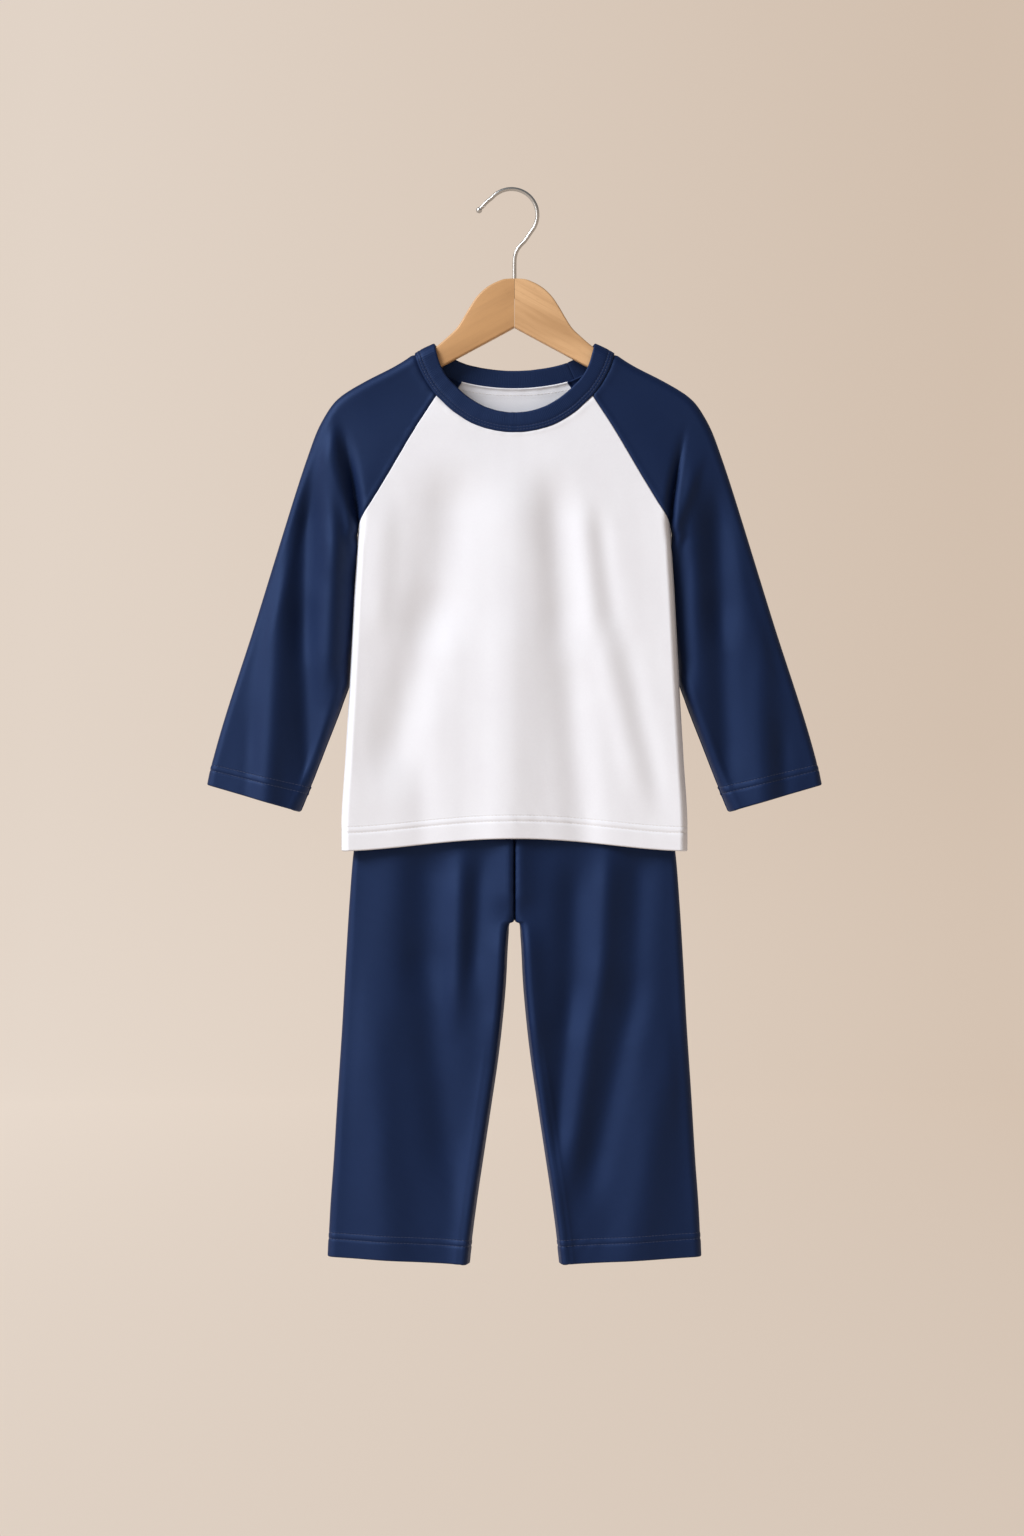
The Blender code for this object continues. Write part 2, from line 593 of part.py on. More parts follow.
def leg_skins(hand, drops, thickness):
    """Outer and inner points of one leg, front seam round the outer fold to back seam."""
    sides = []
    for face in (FRONT, BACK):
        flat = leg_half(face, drops)
        middle, normal = leg_cloth(hand * flat[..., 0], flat[..., 1], face)
        centre = waist_centre(flat[..., 1])
        outer, inner = skins_of(middle, normal, thickness)
        for skin in (outer, inner):
            away = np.maximum(face * (skin[..., 1] - centre), GAP / 2)
            skin[:, :-1, 1] = (centre + face * away)[:, :-1]
            skin[..., 0] = hand * np.maximum(hand * skin[..., 0], GAP / 2)
        sides.append((outer, inner))
    return [np.concatenate((front, back[:, -2::-1]), 1) for front, back in zip(*sides)]


def leg_panel(name, hand, material):
    """One leg with its half of the hips, from the waistband to the hem."""
    drops = (*LEG_ROWS, *HEM_ROWS["leg"])
    outer, inner = leg_skins(hand, drops, row_thickness(drops, "leg"))
    return wall(name, outer, inner, material)


def waistband(name, material):
    """The casing round the waist, a closed ring of doubled cloth with elastic in it."""
    drops = (WAIST, WAISTBAND_LOW)
    right = leg_skins(1, drops, [RIB] * 2)
    left = leg_skins(-1, drops, [RIB] * 2)
    outer, inner = (np.concatenate((a, b[:, ::-1]), 1) for a, b in zip(right, left))
    return wall(name, outer, inner, material, ring=True)


def hanger_arm(name, hand, material):
    """One wooden arm, lofted through soft-cornered sections from the joint to its tip."""
    turn = np.radians(np.arange(11.25, 360.0, 30.0))
    wide = np.sign(np.cos(turn)) * np.abs(np.cos(turn)) ** ARM_CORNER
    high = np.sign(np.sin(turn)) * np.abs(np.sin(turn)) ** ARM_CORNER
    wide, high = wide / np.abs(wide).max(), high / np.abs(high).max()
    form = bmesh.new()
    sections = []
    for top_side, top_drop, low_side, low_drop in zip(
            *(ARM[key] for key in ("top_side", "top_drop", "low_side", "low_drop"))):
        share = (high + 1) / 2
        side = low_side + (top_side - low_side) * share
        drop = low_drop + (top_drop - low_drop) * share
        sections.append([form.verts.new((hand * s * MM, w * WOOD_HALF * MM, -d * MM))
                         for s, w, d in zip(side, wide, drop)])
    middle = np.mean([vert.co for vert in sections[-1]], axis=0)
    tip = form.verts.new(middle + np.array((hand * ARM_TIP[0], 0.0, ARM_TIP[1])) * MM)
    count = len(turn)
    for a, b in zip(sections, sections[1:]):
        for i in range(count):
            j = (i + 1) % count
            form.faces.new((a[i], a[j], b[j], b[i]))
    for i in range(count):
        form.faces.new((sections[-1][i], sections[-1][(i + 1) % count], tip))
    form.faces.new(sections[0])
    bmesh.ops.recalc_face_normals(form, faces=form.faces)
    mesh = bpy.data.meshes.new(name)
    form.to_mesh(mesh)
    form.free()
    return add_object(name, mesh, material)


def shank_bore():
    """The cutter for the hole that the hook's shank sits in."""
    bpy.ops.mesh.primitive_cylinder_add(
        vertices=12, radius=(WIRE / 2 + GAP) * MM, depth=30.0 * MM,
        location=(0, 0, (-SHANK_LOW - GAP + 15.0) * MM))
    bore = bpy.context.active_object
    bore.name = "shank_bore"
    bore.hide_render = True
    bore.display_type = "WIRE"
    return bore


def cut(piece, cutter):
    """Cut a hole with an exact Boolean."""
    modifier = piece.modifiers.new("bore", "BOOLEAN")
    modifier.operation = "DIFFERENCE"
    modifier.solver = "EXACT"
    modifier.object = cutter


def hook_route():
    """The wire's centre line, from the shank in the wood to its free end."""
    centre_drop = math.sqrt((HOOK_RADIUS - WIRE / 2) ** 2 - HOOK_OFFSET ** 2)
    turns = np.radians(np.arange(-28.0, 138.0, 13.75))
    crown = [(HOOK_OFFSET + HOOK_RADIUS * math.cos(a), centre_drop - HOOK_RADIUS * math.sin(a))
             for a in turns]
    return np.array([*HOOK_STEM, *crown, *HOOK_TIP])


def hook(name, material, sides=8):
    """The bent wire, with a small ball on its free end."""
    route = hook_route()
    radius = np.full(len(route), WIRE / 2)
    end, way = route[-1], (route[-1] - route[-2]) / math.dist(route[-1], route[-2])
    for ahead, size in BALL_PROFILE:
        route = np.vstack((route, end + way * ahead))
        radius = np.append(radius, BALL / 2 * size)
    heading = np.gradient(route, axis=0)
    heading /= np.linalg.norm(heading, axis=1, keepdims=True)
    form = bmesh.new()
    rings = []
    for (x, drop), (hx, hd), r in zip(route, heading, radius):
        rings.append([form.verts.new(((x + hd * r * math.cos(a)) * MM, r * math.sin(a) * MM,
                                      -(drop - hx * r * math.cos(a)) * MM))
                      for a in np.linspace(0, 2 * math.pi, sides, endpoint=False)])
    for a, b in zip(rings, rings[1:]):
        for i in range(sides):
            j = (i + 1) % sides
            form.faces.new((a[i], a[j], b[j], b[i]))
    form.faces.new(rings[0])
    form.faces.new(rings[-1])
    bmesh.ops.recalc_face_normals(form, faces=form.faces)
    mesh = bpy.data.meshes.new(name)
    form.to_mesh(mesh)
    form.free()
    return add_object(name, mesh, material)


def main():
    for item in list(bpy.data.objects):
        bpy.data.objects.remove(item)
    navy = colour("navy_jersey", NAVY, 0.85)
    white = colour("white_jersey", WHITE, 0.85)
    rib = colour("navy_rib", NAVY, 0.9)
    wood = colour("pale_wood", WOOD_COLOUR, 0.5)
    steel = colour("steel_wire", STEEL, 0.3, 1.0)

    top_panel("top_front", FRONT, NECK_FRONT, white)
    top_panel("top_back", BACK, NECK_BACK, white)
    neckband("neckband", rib)
    waistband("waistband", navy)
    bore = shank_bore()
    for word, hand in (("left", -1), ("right", 1)):
        sleeve_panel("sleeve_" + word, hand, navy)
        leg_panel("leg_" + word, hand, navy)
        cut(hanger_arm("hanger_arm_" + word, hand, wood), bore)
    hook("hook", steel)


main()
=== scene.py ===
"""A child's pyjama set, a raglan top with its trousers hung inside it, on a wooden hanger.

The front faces -Y, +X is to the right as seen from the front, and the origin is the inner side of
the hook's crown. Lengths are millimetres until a mesh is made. In the tables, side is the distance
from the middle line and drop is the distance below the origin.
"""

import math

import bmesh
import bpy
import numpy as np
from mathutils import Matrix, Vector


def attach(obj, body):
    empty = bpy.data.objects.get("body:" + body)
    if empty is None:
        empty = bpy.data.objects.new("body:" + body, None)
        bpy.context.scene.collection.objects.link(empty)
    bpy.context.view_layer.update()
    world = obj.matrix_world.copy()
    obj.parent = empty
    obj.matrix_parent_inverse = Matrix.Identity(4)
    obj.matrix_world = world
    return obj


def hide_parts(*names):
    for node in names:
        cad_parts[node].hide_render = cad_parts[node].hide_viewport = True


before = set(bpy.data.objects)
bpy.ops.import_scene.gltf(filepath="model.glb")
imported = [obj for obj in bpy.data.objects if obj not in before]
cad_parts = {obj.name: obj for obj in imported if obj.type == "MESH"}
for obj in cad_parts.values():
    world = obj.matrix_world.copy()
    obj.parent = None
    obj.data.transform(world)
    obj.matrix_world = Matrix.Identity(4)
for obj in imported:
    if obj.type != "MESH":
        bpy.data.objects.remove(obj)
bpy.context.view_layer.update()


# Hook
# The hook is one length of 3.6 mm steel wire, bent cold to a round crown and brushed. Its shank is
# driven into the joint of the two wooden arms, and a small ball is formed on its free end so that
# it doesn't catch on other clothes.
MM = 0.001
WIRE = 3.6
BALL = 5.4
HOOK_RADIUS = 23.4
HOOK_OFFSET = -2.7
# The crown's first angle, its end and its step, in degrees
CROWN_TURNS = (-30.0, 141.0, 4.5)
SHANK_LOW = 97.0
HOOK_STEM = ((0.0, SHANK_LOW), (0.0, 92.0), (0.0, 86.0), (0.0, 80.0), (0.0, 74.0), (0.0, 68.0),
             (0.05, 62.5), (0.45, 59.0), (1.5, 55.0), (3.4, 51.4), (6.0, 48.3), (9.0, 45.4))
HOOK_TIP = ((-21.4, 6.9), (-24.2, 9.0), (-26.9, 11.8), (-28.9, 14.0), (-30.5, 15.7))
# Past the wire's end, and the share of the ball's radius there
BALL_PROFILE = ((0.25, 0.78), (0.8, 0.92), (1.6, 1.0), (2.5, 1.0), (3.4, 0.9), (4.1, 0.7),
                (4.6, 0.42), (4.8, 0.12))
STEEL = (0.55, 0.55, 0.545)


class Shade:
    """One output in a material's nodes. Arithmetic on it adds Math nodes."""

    def __init__(self, finish, socket):
        self.finish = finish
        self.socket = socket

    def math(self, operation, *values):
        return self.finish.node("Math", {"operation": operation}, dict(enumerate(values)))

    def __add__(self, other):
        return self.math("ADD", self, other)

    def __sub__(self, other):
        return self.math("SUBTRACT", self, other)

    def __rsub__(self, other):
        return self.math("SUBTRACT", other, self)

    def __mul__(self, other):
        return self.math("MULTIPLY", self, other)

    __radd__ = __add__
    __rmul__ = __mul__


class Finish:
    """A material. Its constants go on the shader's own sockets, by the names of those sockets."""

    def __init__(self, name, **constants):
        self.material = bpy.data.materials.new(name)
        self.material.use_nodes = True
        self.nodes = self.material.node_tree.nodes
        self.links = self.material.node_tree.links
        self.shader = self.nodes["Principled BSDF"]
        for key, value in constants.items():
            self.shader.inputs[key.replace("_", " ")].default_value = value

    def node(self, kind, settings, inputs, output=0):
        """Any node: its settings first, then the values or links of its sockets."""
        made = self.nodes.new("ShaderNode" + kind)
        for key, value in settings.items():
            setattr(made, key, value)
        for key, value in inputs.items():
            self.feed(made.inputs[key], value)
        return Shade(self, made.outputs[output])

    def feed(self, socket, value):
        if isinstance(value, Shade):
            self.links.new(value.socket, socket)
        else:
            socket.default_value = value

    def place(self, scale=(1.0, 1.0, 1.0), turn=(0.0, 0.0, 0.0)):
        """The object's own coordinates, turned first and then stretched for a pattern."""
        own = self.node("TexCoord", {}, {}, 3)
        turned = self.node("Mapping", {"vector_type": "POINT"}, {"Vector": own, "Rotation": turn})
        return self.node("Mapping", {"vector_type": "POINT"}, {"Vector": turned, "Scale": scale})

    def noise(self, vector, scale, detail=2.0, roughness=0.5):
        return self.node("TexNoise", {}, {"Vector": vector, "Scale": scale, "Detail": detail,
                                          "Roughness": roughness})

    def blend(self, share, first, second):
        """Colours mix from the first to the second."""
        return self.node("Mix", {"data_type": "RGBA"}, {0: share, 6: first, 7: second}, 2)

    def bump(self, height, depth, strength=1.0):
        lift = self.node("Bump", {}, {"Height": height, "Distance": depth, "Strength": strength})
        self.feed(self.shader.inputs["Normal"], lift)


def brushed_steel():
    steel = Finish("brushed_steel", Metallic=1.0)
    along = steel.place()
    scratch = steel.noise(along, 1900.0, 3.0, 0.7)
    cloud = steel.noise(along, 70.0)
    dark = (*(0.86 * c for c in STEEL), 1.0)
    steel.feed(steel.shader.inputs["Base Color"], steel.blend(cloud, dark, (*STEEL, 1.0)))
    steel.feed(steel.shader.inputs["Roughness"], 0.2 + 0.14 * scratch + 0.08 * cloud)
    steel.bump(scratch, 0.00004)
    return steel.material


def hook_route():
    """The wire's centre line, from the shank in the wood to its free end."""
    centre_drop = math.sqrt((HOOK_RADIUS - WIRE / 2) ** 2 - HOOK_OFFSET ** 2)
    turns = np.radians(np.arange(*CROWN_TURNS))
    crown = [(HOOK_OFFSET + HOOK_RADIUS * math.cos(a), centre_drop - HOOK_RADIUS * math.sin(a))
             for a in turns]
    return np.array([*HOOK_STEM, *crown, *HOOK_TIP])


def to_bottom(objects):
    """Keep each finished object at the world's origin, with its place in its mesh."""
    bpy.ops.object.select_all(action="DESELECT")
    for item in objects:
        item.select_set(True)
    bpy.context.view_layer.objects.active = objects[0]
    bpy.ops.object.transform_apply(location=True, rotation=True, scale=True)


def extruded_wire(name, route, radii):
    """A disc of the first radius, extruded from point to point, turned and scaled on its way."""
    bpy.ops.object.select_all(action="DESELECT")
    heading = np.gradient(route, axis=0)
    angles = np.unwrap(np.arctan2(heading[:, 0], -heading[:, 1]))
    places = [Vector((x * MM, 0.0, -drop * MM)) for x, drop in route]
    bpy.ops.mesh.primitive_circle_add(vertices=20, radius=radii[0] * MM, fill_type="NGON",
                                      location=places[0], rotation=(0.0, angles[0], 0.0))
    wire = bpy.context.active_object
    wire.name = name
    to_bottom([wire])
    bpy.ops.object.mode_set(mode="EDIT")
    bpy.ops.mesh.select_mode(type="FACE")
    bpy.ops.mesh.select_all(action="SELECT")
    for i in range(1, len(places)):
        bpy.ops.mesh.extrude_region_move(
            TRANSFORM_OT_translate={"value": places[i] - places[i - 1]})
        bpy.ops.transform.rotate(value=angles[i - 1] - angles[i], orient_axis="Y",
                                 center_override=places[i])
        if radii[i] != radii[i - 1]:
            size = radii[i] / radii[i - 1]
            bpy.ops.transform.resize(value=(size, size, size), center_override=places[i])
    bpy.ops.mesh.select_all(action="SELECT")
    bpy.ops.mesh.normals_make_consistent(inside=False)
    bpy.ops.object.mode_set(mode="OBJECT")
    bpy.ops.object.shade_smooth_by_angle(angle=math.radians(50))
    return wire


route = hook_route()
way = (route[-1] - route[-2]) / math.dist(route[-1], route[-2])
radii = [WIRE / 2] * len(route) + [BALL / 2 * share for _, share in BALL_PROFILE]
route = np.vstack([route, *(route[-1] + way * ahead for ahead, _ in BALL_PROFILE)])
hook = extruded_wire("hook_wire", route, radii)
hook.data.materials.append(brushed_steel())
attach(hook, "root")
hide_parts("hook")


# Hanger arms
# Two arms of pale beech, 11 mm thick, are cut so that their grain runs out along each shoulder,
# and glued on the middle line. The long edges are rounded over, sanded and sealed with a thin
# satin lacquer.
WOOD_HALF = 5.5
ARM_STATIONS = 56
WOOD_EDGE = 2.3
BORE_DEPTH = 30.0
BORE_PLAY = 0.05
BORE_PAST_SHANK = 0.3
WOOD_PALE = {-1: (0.53, 0.30, 0.134), 1: (0.67, 0.415, 0.215)}
WOOD_DARK = (0.41, 0.225, 0.098)
WOOD_FLECK = (0.33, 0.175, 0.075)
GRAIN_SLOPE = 29.0


def table(columns, *values):
    """A short table with named columns."""
    return {name: np.array(column, float) for name, column in zip(columns.split(), zip(*values))}


def read(rows, column, at, key="drop"):
    """Read one column at values of another, on a smooth curve with no overshoot."""
    x, y = rows[key], rows[column]
    step = np.diff(x)
    slope = np.diff(y) / step
    tangent = np.concatenate(([slope[0]], np.zeros(len(x) - 2), [slope[-1]]))
    product = slope[:-1] * slope[1:]
    bends = product > 0
    tangent[1:-1][bends] = 2.0 * product[bends] / (slope[:-1] + slope[1:])[bends]
    at = np.clip(at, x[0], x[-1])
    i = np.clip(np.searchsorted(x, at, side="right") - 1, 0, len(x) - 2)
    t = (at - x[i]) / step[i]
    return (y[i] * (1 + 2 * t) * (1 - t) ** 2 + y[i + 1] * t * t * (3 - 2 * t)
            + step[i] * (tangent[i] * t * (1 - t) ** 2 + tangent[i + 1] * t * t * (t - 1)))


# Sections of an arm, each from its top line to its lower line
ARM = table(
    "at top_side top_drop low_side low_drop",
    (0, 0.12, 79, 0.12, 123.3), (1, 8.5, 79.5, 7, 127.1), (2, 16.5, 82.2, 13.5, 130.6),
    (3, 24.5, 86.6, 20, 134.1), (4, 33, 94.3, 27, 137.9), (5, 40.3, 104.8, 34, 141.6),
    (6, 46, 114.6, 41, 145.4), (7, 52, 123.8, 48, 149.2), (8, 60.5, 132, 56, 153.4),
    (9, 73, 142.2, 65, 158.3), (10, 88.7, 149.9, 81, 166.9), (11, 108.5, 161.3, 101, 177.6),
    (12, 133.7, 174.6, 127, 191.2), (13, 149, 185, 143, 198.8),
    (14, 155.5, 190.8, 150.5, 200.6))


def beech(name, hand):
    """Lacquered beech with its grain along the arm."""
    wood = Finish(name, Coat_Weight=0.12, Coat_Roughness=0.3, Specular_IOR_Level=0.4)
    turn = (0.0, -hand * math.radians(GRAIN_SLOPE), 0.0)
    figure = wood.noise(wood.place((7.0, 34.0, 52.0), turn), 1.0, 3.0, 0.55)
    lines = wood.noise(wood.place((11.0, 260.0, 430.0), turn), 1.0, 4.0, 0.6)
    fleck = wood.noise(wood.place((130.0, 900.0, 1500.0), turn), 1.0, 1.0)
    streak = wood.node("MapRange", {}, {0: figure, 1: 0.42, 2: 0.66})
    thin = wood.node("MapRange", {}, {0: lines, 1: 0.5, 2: 0.68})
    pores = wood.node("MapRange", {}, {0: fleck, 1: 0.66, 2: 0.76})
    base = wood.blend(0.62 * streak, (*WOOD_PALE[hand], 1.0), (*WOOD_DARK, 1.0))
    base = wood.blend(0.30 * thin, base, (*WOOD_DARK, 1.0))
    base = wood.blend(0.38 * pores, base, (*WOOD_FLECK, 1.0))
    wood.feed(wood.shader.inputs["Base Color"], base)
    wood.feed(wood.shader.inputs["Roughness"], 0.46 + 0.12 * thin)
    wood.bump(1.0 - (0.5 * thin + 0.5 * pores), 0.00006)
    return wood.material


def wooden_arm(name, hand):
    """A rectangle at the joint, extruded through the arm's sections, with its edges rounded."""
    at = np.linspace(0.0, ARM["at"][-1], ARM_STATIONS)
    sections = [read(ARM, column, at, "at")
                for column in ("top_side", "top_drop", "low_side", "low_drop")]
    bpy.ops.object.select_all(action="DESELECT")
    bpy.ops.mesh.primitive_plane_add(size=2 * WOOD_HALF * MM, rotation=(0.0, math.pi / 2, 0.0))
    arm = bpy.context.active_object
    arm.name = name
    to_bottom([arm])
    bpy.ops.object.mode_set(mode="EDIT")
    bpy.ops.mesh.select_mode(type="FACE")
    for station, (top_side, top_drop, low_side, low_drop) in enumerate(zip(*sections)):
        if station:
            bpy.ops.mesh.extrude_region_move(
                TRANSFORM_OT_translate={"value": (hand * MM, 0.0, 0.0)})
        form = bmesh.from_edit_mesh(arm.data)
        section = sorted((v for v in form.verts if v.select), key=lambda v: v.co.z)
        for vert, (side, drop) in zip(section, [(low_side, low_drop)] * 2
                                      + [(top_side, top_drop)] * 2):
            vert.co.x = hand * side * MM
            vert.co.z = -drop * MM
        bmesh.update_edit_mesh(arm.data)
    bpy.ops.mesh.select_all(action="SELECT")
    bpy.ops.mesh.normals_make_consistent(inside=False)
    bpy.ops.mesh.select_all(action="DESELECT")
    bpy.ops.mesh.select_mode(type="EDGE")
    bpy.ops.mesh.edges_select_sharp(sharpness=math.radians(40))
    form = bmesh.from_edit_mesh(arm.data)
    for edge in form.edges:
        if max(abs(v.co.x) for v in edge.verts) < MM:
            edge.select_set(False)
    form.select_flush_mode()
    bmesh.update_edit_mesh(arm.data)
    bpy.ops.mesh.bevel(offset=WOOD_EDGE * MM, segments=4, profile=0.5, clamp_overlap=True)
    bpy.ops.object.mode_set(mode="OBJECT")
    bpy.ops.object.shade_smooth_by_angle(angle=math.radians(35))
    arm.data.materials.append(beech(name + "_beech", hand))
    return arm


def bored(piece):
    """Drill the hole that the hook's shank sits in."""
    bpy.ops.object.select_all(action="DESELECT")
    bpy.ops.mesh.primitive_cylinder_add(
        vertices=24, radius=(WIRE / 2 + BORE_PLAY) * MM, depth=BORE_DEPTH * MM,
        location=(0.0, 0.0, (BORE_DEPTH / 2 - SHANK_LOW - BORE_PAST_SHANK) * MM))
    drill = bpy.context.active_object
    cut = piece.modifiers.new("bore", "BOOLEAN")
    cut.operation = "DIFFERENCE"
    cut.solver = "EXACT"
    cut.object = drill
    bpy.ops.object.select_all(action="DESELECT")
    bpy.context.view_layer.objects.active = piece
    bpy.ops.object.modifier_apply(modifier=cut.name)
    bpy.data.objects.remove(drill)


for word, hand in (("left", -1), ("right", 1)):
    arm = wooden_arm(word + "_wooden_arm", hand)
    bored(arm)
    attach(arm, "root")
    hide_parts("hanger_arm_" + word)


# Front of the top
# The front is one panel of fine white cotton jersey with a low curved neck. Its raglan edges are
# overlocked to the sleeves and its sides to the back, and its hem is turned up 22 mm and held by
# two rows of coverstitch.
FRONT, BACK = -1, 1
CLOTH = 1.0
HEM_EXTRA = 0.7
ALLOWANCE = 6.5
ALLOWANCE_DEPTH = 0.55
FACE = 0.9
GAP = 0.3
STEP = 2.3
SEAM_STEPS = (0.0, 0.5, 1.1, 1.9, 3.0)
HEM_DEPTH = 22.0
HEM_STEP = 0.38
STITCH_ROWS = (15.5, 21.0)
FRONT_RAGLAN_TOP = 184.8
UNDERARM = 304.2
TOP_HEM = 594.0
HEM_HALF = 155.0
ARCH_START = 430.0
HEM_ARCH = 11.0
SHOULDER_ROLL = 7.3
SLEEVE_ROLL = 5.6
FOLD_ROLL = 10.0
RIGHT_FOLD_ROLL = 3.6
SIDE_ROLL = {FRONT: 3.8, BACK: 11.0}
UNDERARM_ROLL = 9.0
SIDE_DEPTH = {FRONT: 15.8, BACK: 7.0}
SIDE_FILL = {FRONT: 90.0, BACK: 60.0}
NECK_POINT = (88.7, 147.6)
BAND_POINT = (72.0, 139.5)
UNEVEN = 0.34
# How far from a fold the cloth reaches its whole depth, its creases and its soft waves
FULL_WITHIN = 60.0
CREASED_WITHIN = 18.0
WAVY_WITHIN = 12.0
# The same for creases beside the body's side, and for a sleeve's own depth there
SIDE_WITHIN = 12.0
SLEEVE_WITHIN = 22.0
# Where a change starts down the cloth, and how far it runs
ROLL_RUN = (185.0, 110.0)
SIDE_RUN = (230.0, 90.0)
UNDERARM_RUN = (205.0, 75.0)
FOLD_RUN = (270.0, 60.0)
WHITE = (0.765, 0.786, 0.85)
WHITE_SHADE = (0.745, 0.76, 0.825)

NECK_FRONT = table(
    "part side drop inner_side inner_drop",
    (0, 0, 217.4, 0, 199.7),
    (0.04, 3.2, 217.36, 2.7, 199.67),
    (0.152, 12, 216.6, 10.2, 199),
    (0.41, 31.8, 211.8, 25.1, 195),
    (0.717, 52.9, 199.9, 42.5, 184.9),
    (1, 69.4, FRONT_RAGLAN_TOP, 57.5, 171))
# Raglan seams, from the neck seam to the underarm; the back's is set with the back panel
RAGLAN = {FRONT: table("side drop", (69.4, FRONT_RAGLAN_TOP), (88.7, 214.5), (112.7, 255.3),
                       (127.1, 279.1), (137.6, 296.3), (140.5, UNDERARM))}
# The seam's length, and rows along it that are closer at the neck seam
RAGLAN_RUN = 119.0
RAGLAN_PARTS = np.concatenate((np.array(SEAM_STEPS[:-1]) / RAGLAN_RUN,
                               np.linspace(SEAM_STEPS[-1] / RAGLAN_RUN, 1.0, 51)))
# Fold along the shoulder and the sleeve's outer side
SHOULDER_LINE = table(
    "side drop",
    (58, 132.7), BAND_POINT, NECK_POINT, (108.5, 159.3), (133.7, 172.2), (153.5, 184),
    (161.4, 190.8), (168, 199.8), (177, 216.5), (185.5, 239.4), (193.5, 263),
    (232, 386.5), (272.4, 517), (276.2, 535))
# Deep fold from the shoulder to the underarm, then the body's side
BODY_EDGE = table(
    "drop side",
    (205, 157), (216, 154), (261, 146), (UNDERARM, 140.5), (370, 143.7),
    (446, 147.7), (513, 151.6), (574, 155), (TOP_HEM, 155))
# Half of the depth from front to back
BODY_DEPTH = table(
    "drop depth", (130, 7.4), (170, 8.2), (217, 11), (260, 13.5), (UNDERARM, 14.5),
    (446, 15), (TOP_HEM, 15.8))
# Folds, a row for each: its two ends, half width and height (a trough is negative)
FOLD = "x drop to_x to_drop width rise"
TOP_FOLDS = {FRONT: table(
    FOLD, (1, 255, -4, 440, 26, 2.7), (-4, 400, -9, 680, 27, 3.8), (-54, 255, -72, 400, 26, -4.8),
    (-74, 370, -114, 530, 23, -4.6), (-84, 500, -80, 640, 15, -1.6), (35, 262, 46, 410, 17, -3.9),
    (45, 395, 70, 660, 17, -3.7), (60, 285, 72, 400, 9, 1.4), (75, 390, 113, 550, 11, 1.8),
    (76, 290, 92, 400, 9, -1.4), (96, 390, 134, 560, 10, -1.3), (-118, 285, -124, 400, 12, 1.4))}


def ease(value):
    """0 below 0, 1 above 1 and a smooth step between."""
    value = np.clip(value, 0.0, 1.0)
    return value * value * (3.0 - 2.0 * value)


def eased(drop, run):
    """The same step down the cloth, over a run given by its start and length."""
    return ease((drop - run[0]) / run[1])


def bell(distance, width):
    return np.exp(-(distance / width) ** 2)


def creases(x, drop, rows):
    """Height that the ridges and troughs of a table add."""
    total = np.zeros_like(x)
    for x0, d0, x1, d1, width, rise in zip(*(rows[name] for name in FOLD.split())):
        run = math.hypot(x1 - x0, d1 - d0)
        t = ((x - x0) * (x1 - x0) + (drop - d0) * (d1 - d0)) / run ** 2
        off = ((x - x0) * (d1 - d0) - (drop - d0) * (x1 - x0)) / run
        total += rise * bell(off, width) * ease((t + 0.15) / 0.4) * ease((1.15 - t) / 0.4)
    return total


def uneven(x, drop, seed, longest=110.0, shortest=28.0, waves=16):
    """Soft waves that hanging jersey has everywhere, longer down the cloth than across it."""
    draw = np.random.default_rng(seed)
    total = np.zeros_like(x)
    for _ in range(waves):
        length = draw.uniform(shortest, longest)
        slant = draw.normal(0.0, 0.3)
        across = x * math.cos(slant) + drop * math.sin(slant)
        total += length / longest * np.sin(2 * math.pi * (across / length + draw.random()))
    return total / math.sqrt(waves)


def ladder(start, end, step, marks):
    """Places from start to end, a step apart, and closer round the marks."""
    count = max(2, round(abs(end - start) / step) + 1)
    close = [mark + off for mark in marks for off in (-1.2, -0.6, 0.0, 0.6, 1.2)]
    far = [place for place in np.linspace(start, end, count)
           if all(abs(place - mark) > 1.8 for mark in marks)]
    return np.unique(np.round(np.clip([*far, *close, start, end], start, end), 3))


def rows_to_hem(start, hem, marks=()):
    """Drops of a panel's rows, closer at the marks, the stitches and the hem's edge."""
    marks = (*marks, *(hem - row for row in (*STITCH_ROWS, HEM_DEPTH + 0.4)))
    return np.array((*ladder(start, hem - 1.5, STEP, marks), hem - 0.6, hem))


def spaced(length, step):
    """Shares of a length, a step apart and closer at both ends."""
    near = np.array(SEAM_STEPS) / length
    middle = np.linspace(near[-1], 1 - near[-1], round((length - 2 * SEAM_STEPS[-1]) / step) + 1)
    return np.concatenate((near[:-1], middle, 1 - near[-2::-1]))


outline = dict(SHOULDER_LINE, run=np.concatenate(([0.0], np.cumsum(np.hypot(
    np.diff(SHOULDER_LINE["side"]), np.diff(SHOULDER_LINE["drop"]))))))
outline_runs = np.linspace(0.0, outline["run"][-1], 150)
OUTLINE_SIDE = read(outline, "side", outline_runs, "run")
OUTLINE_DROP = read(outline, "drop", outline_runs, "run")


def outline_point(drop):
    """The point of the shoulder and sleeve fold at a drop."""
    return np.array((np.interp(drop, OUTLINE_DROP, OUTLINE_SIDE), drop))


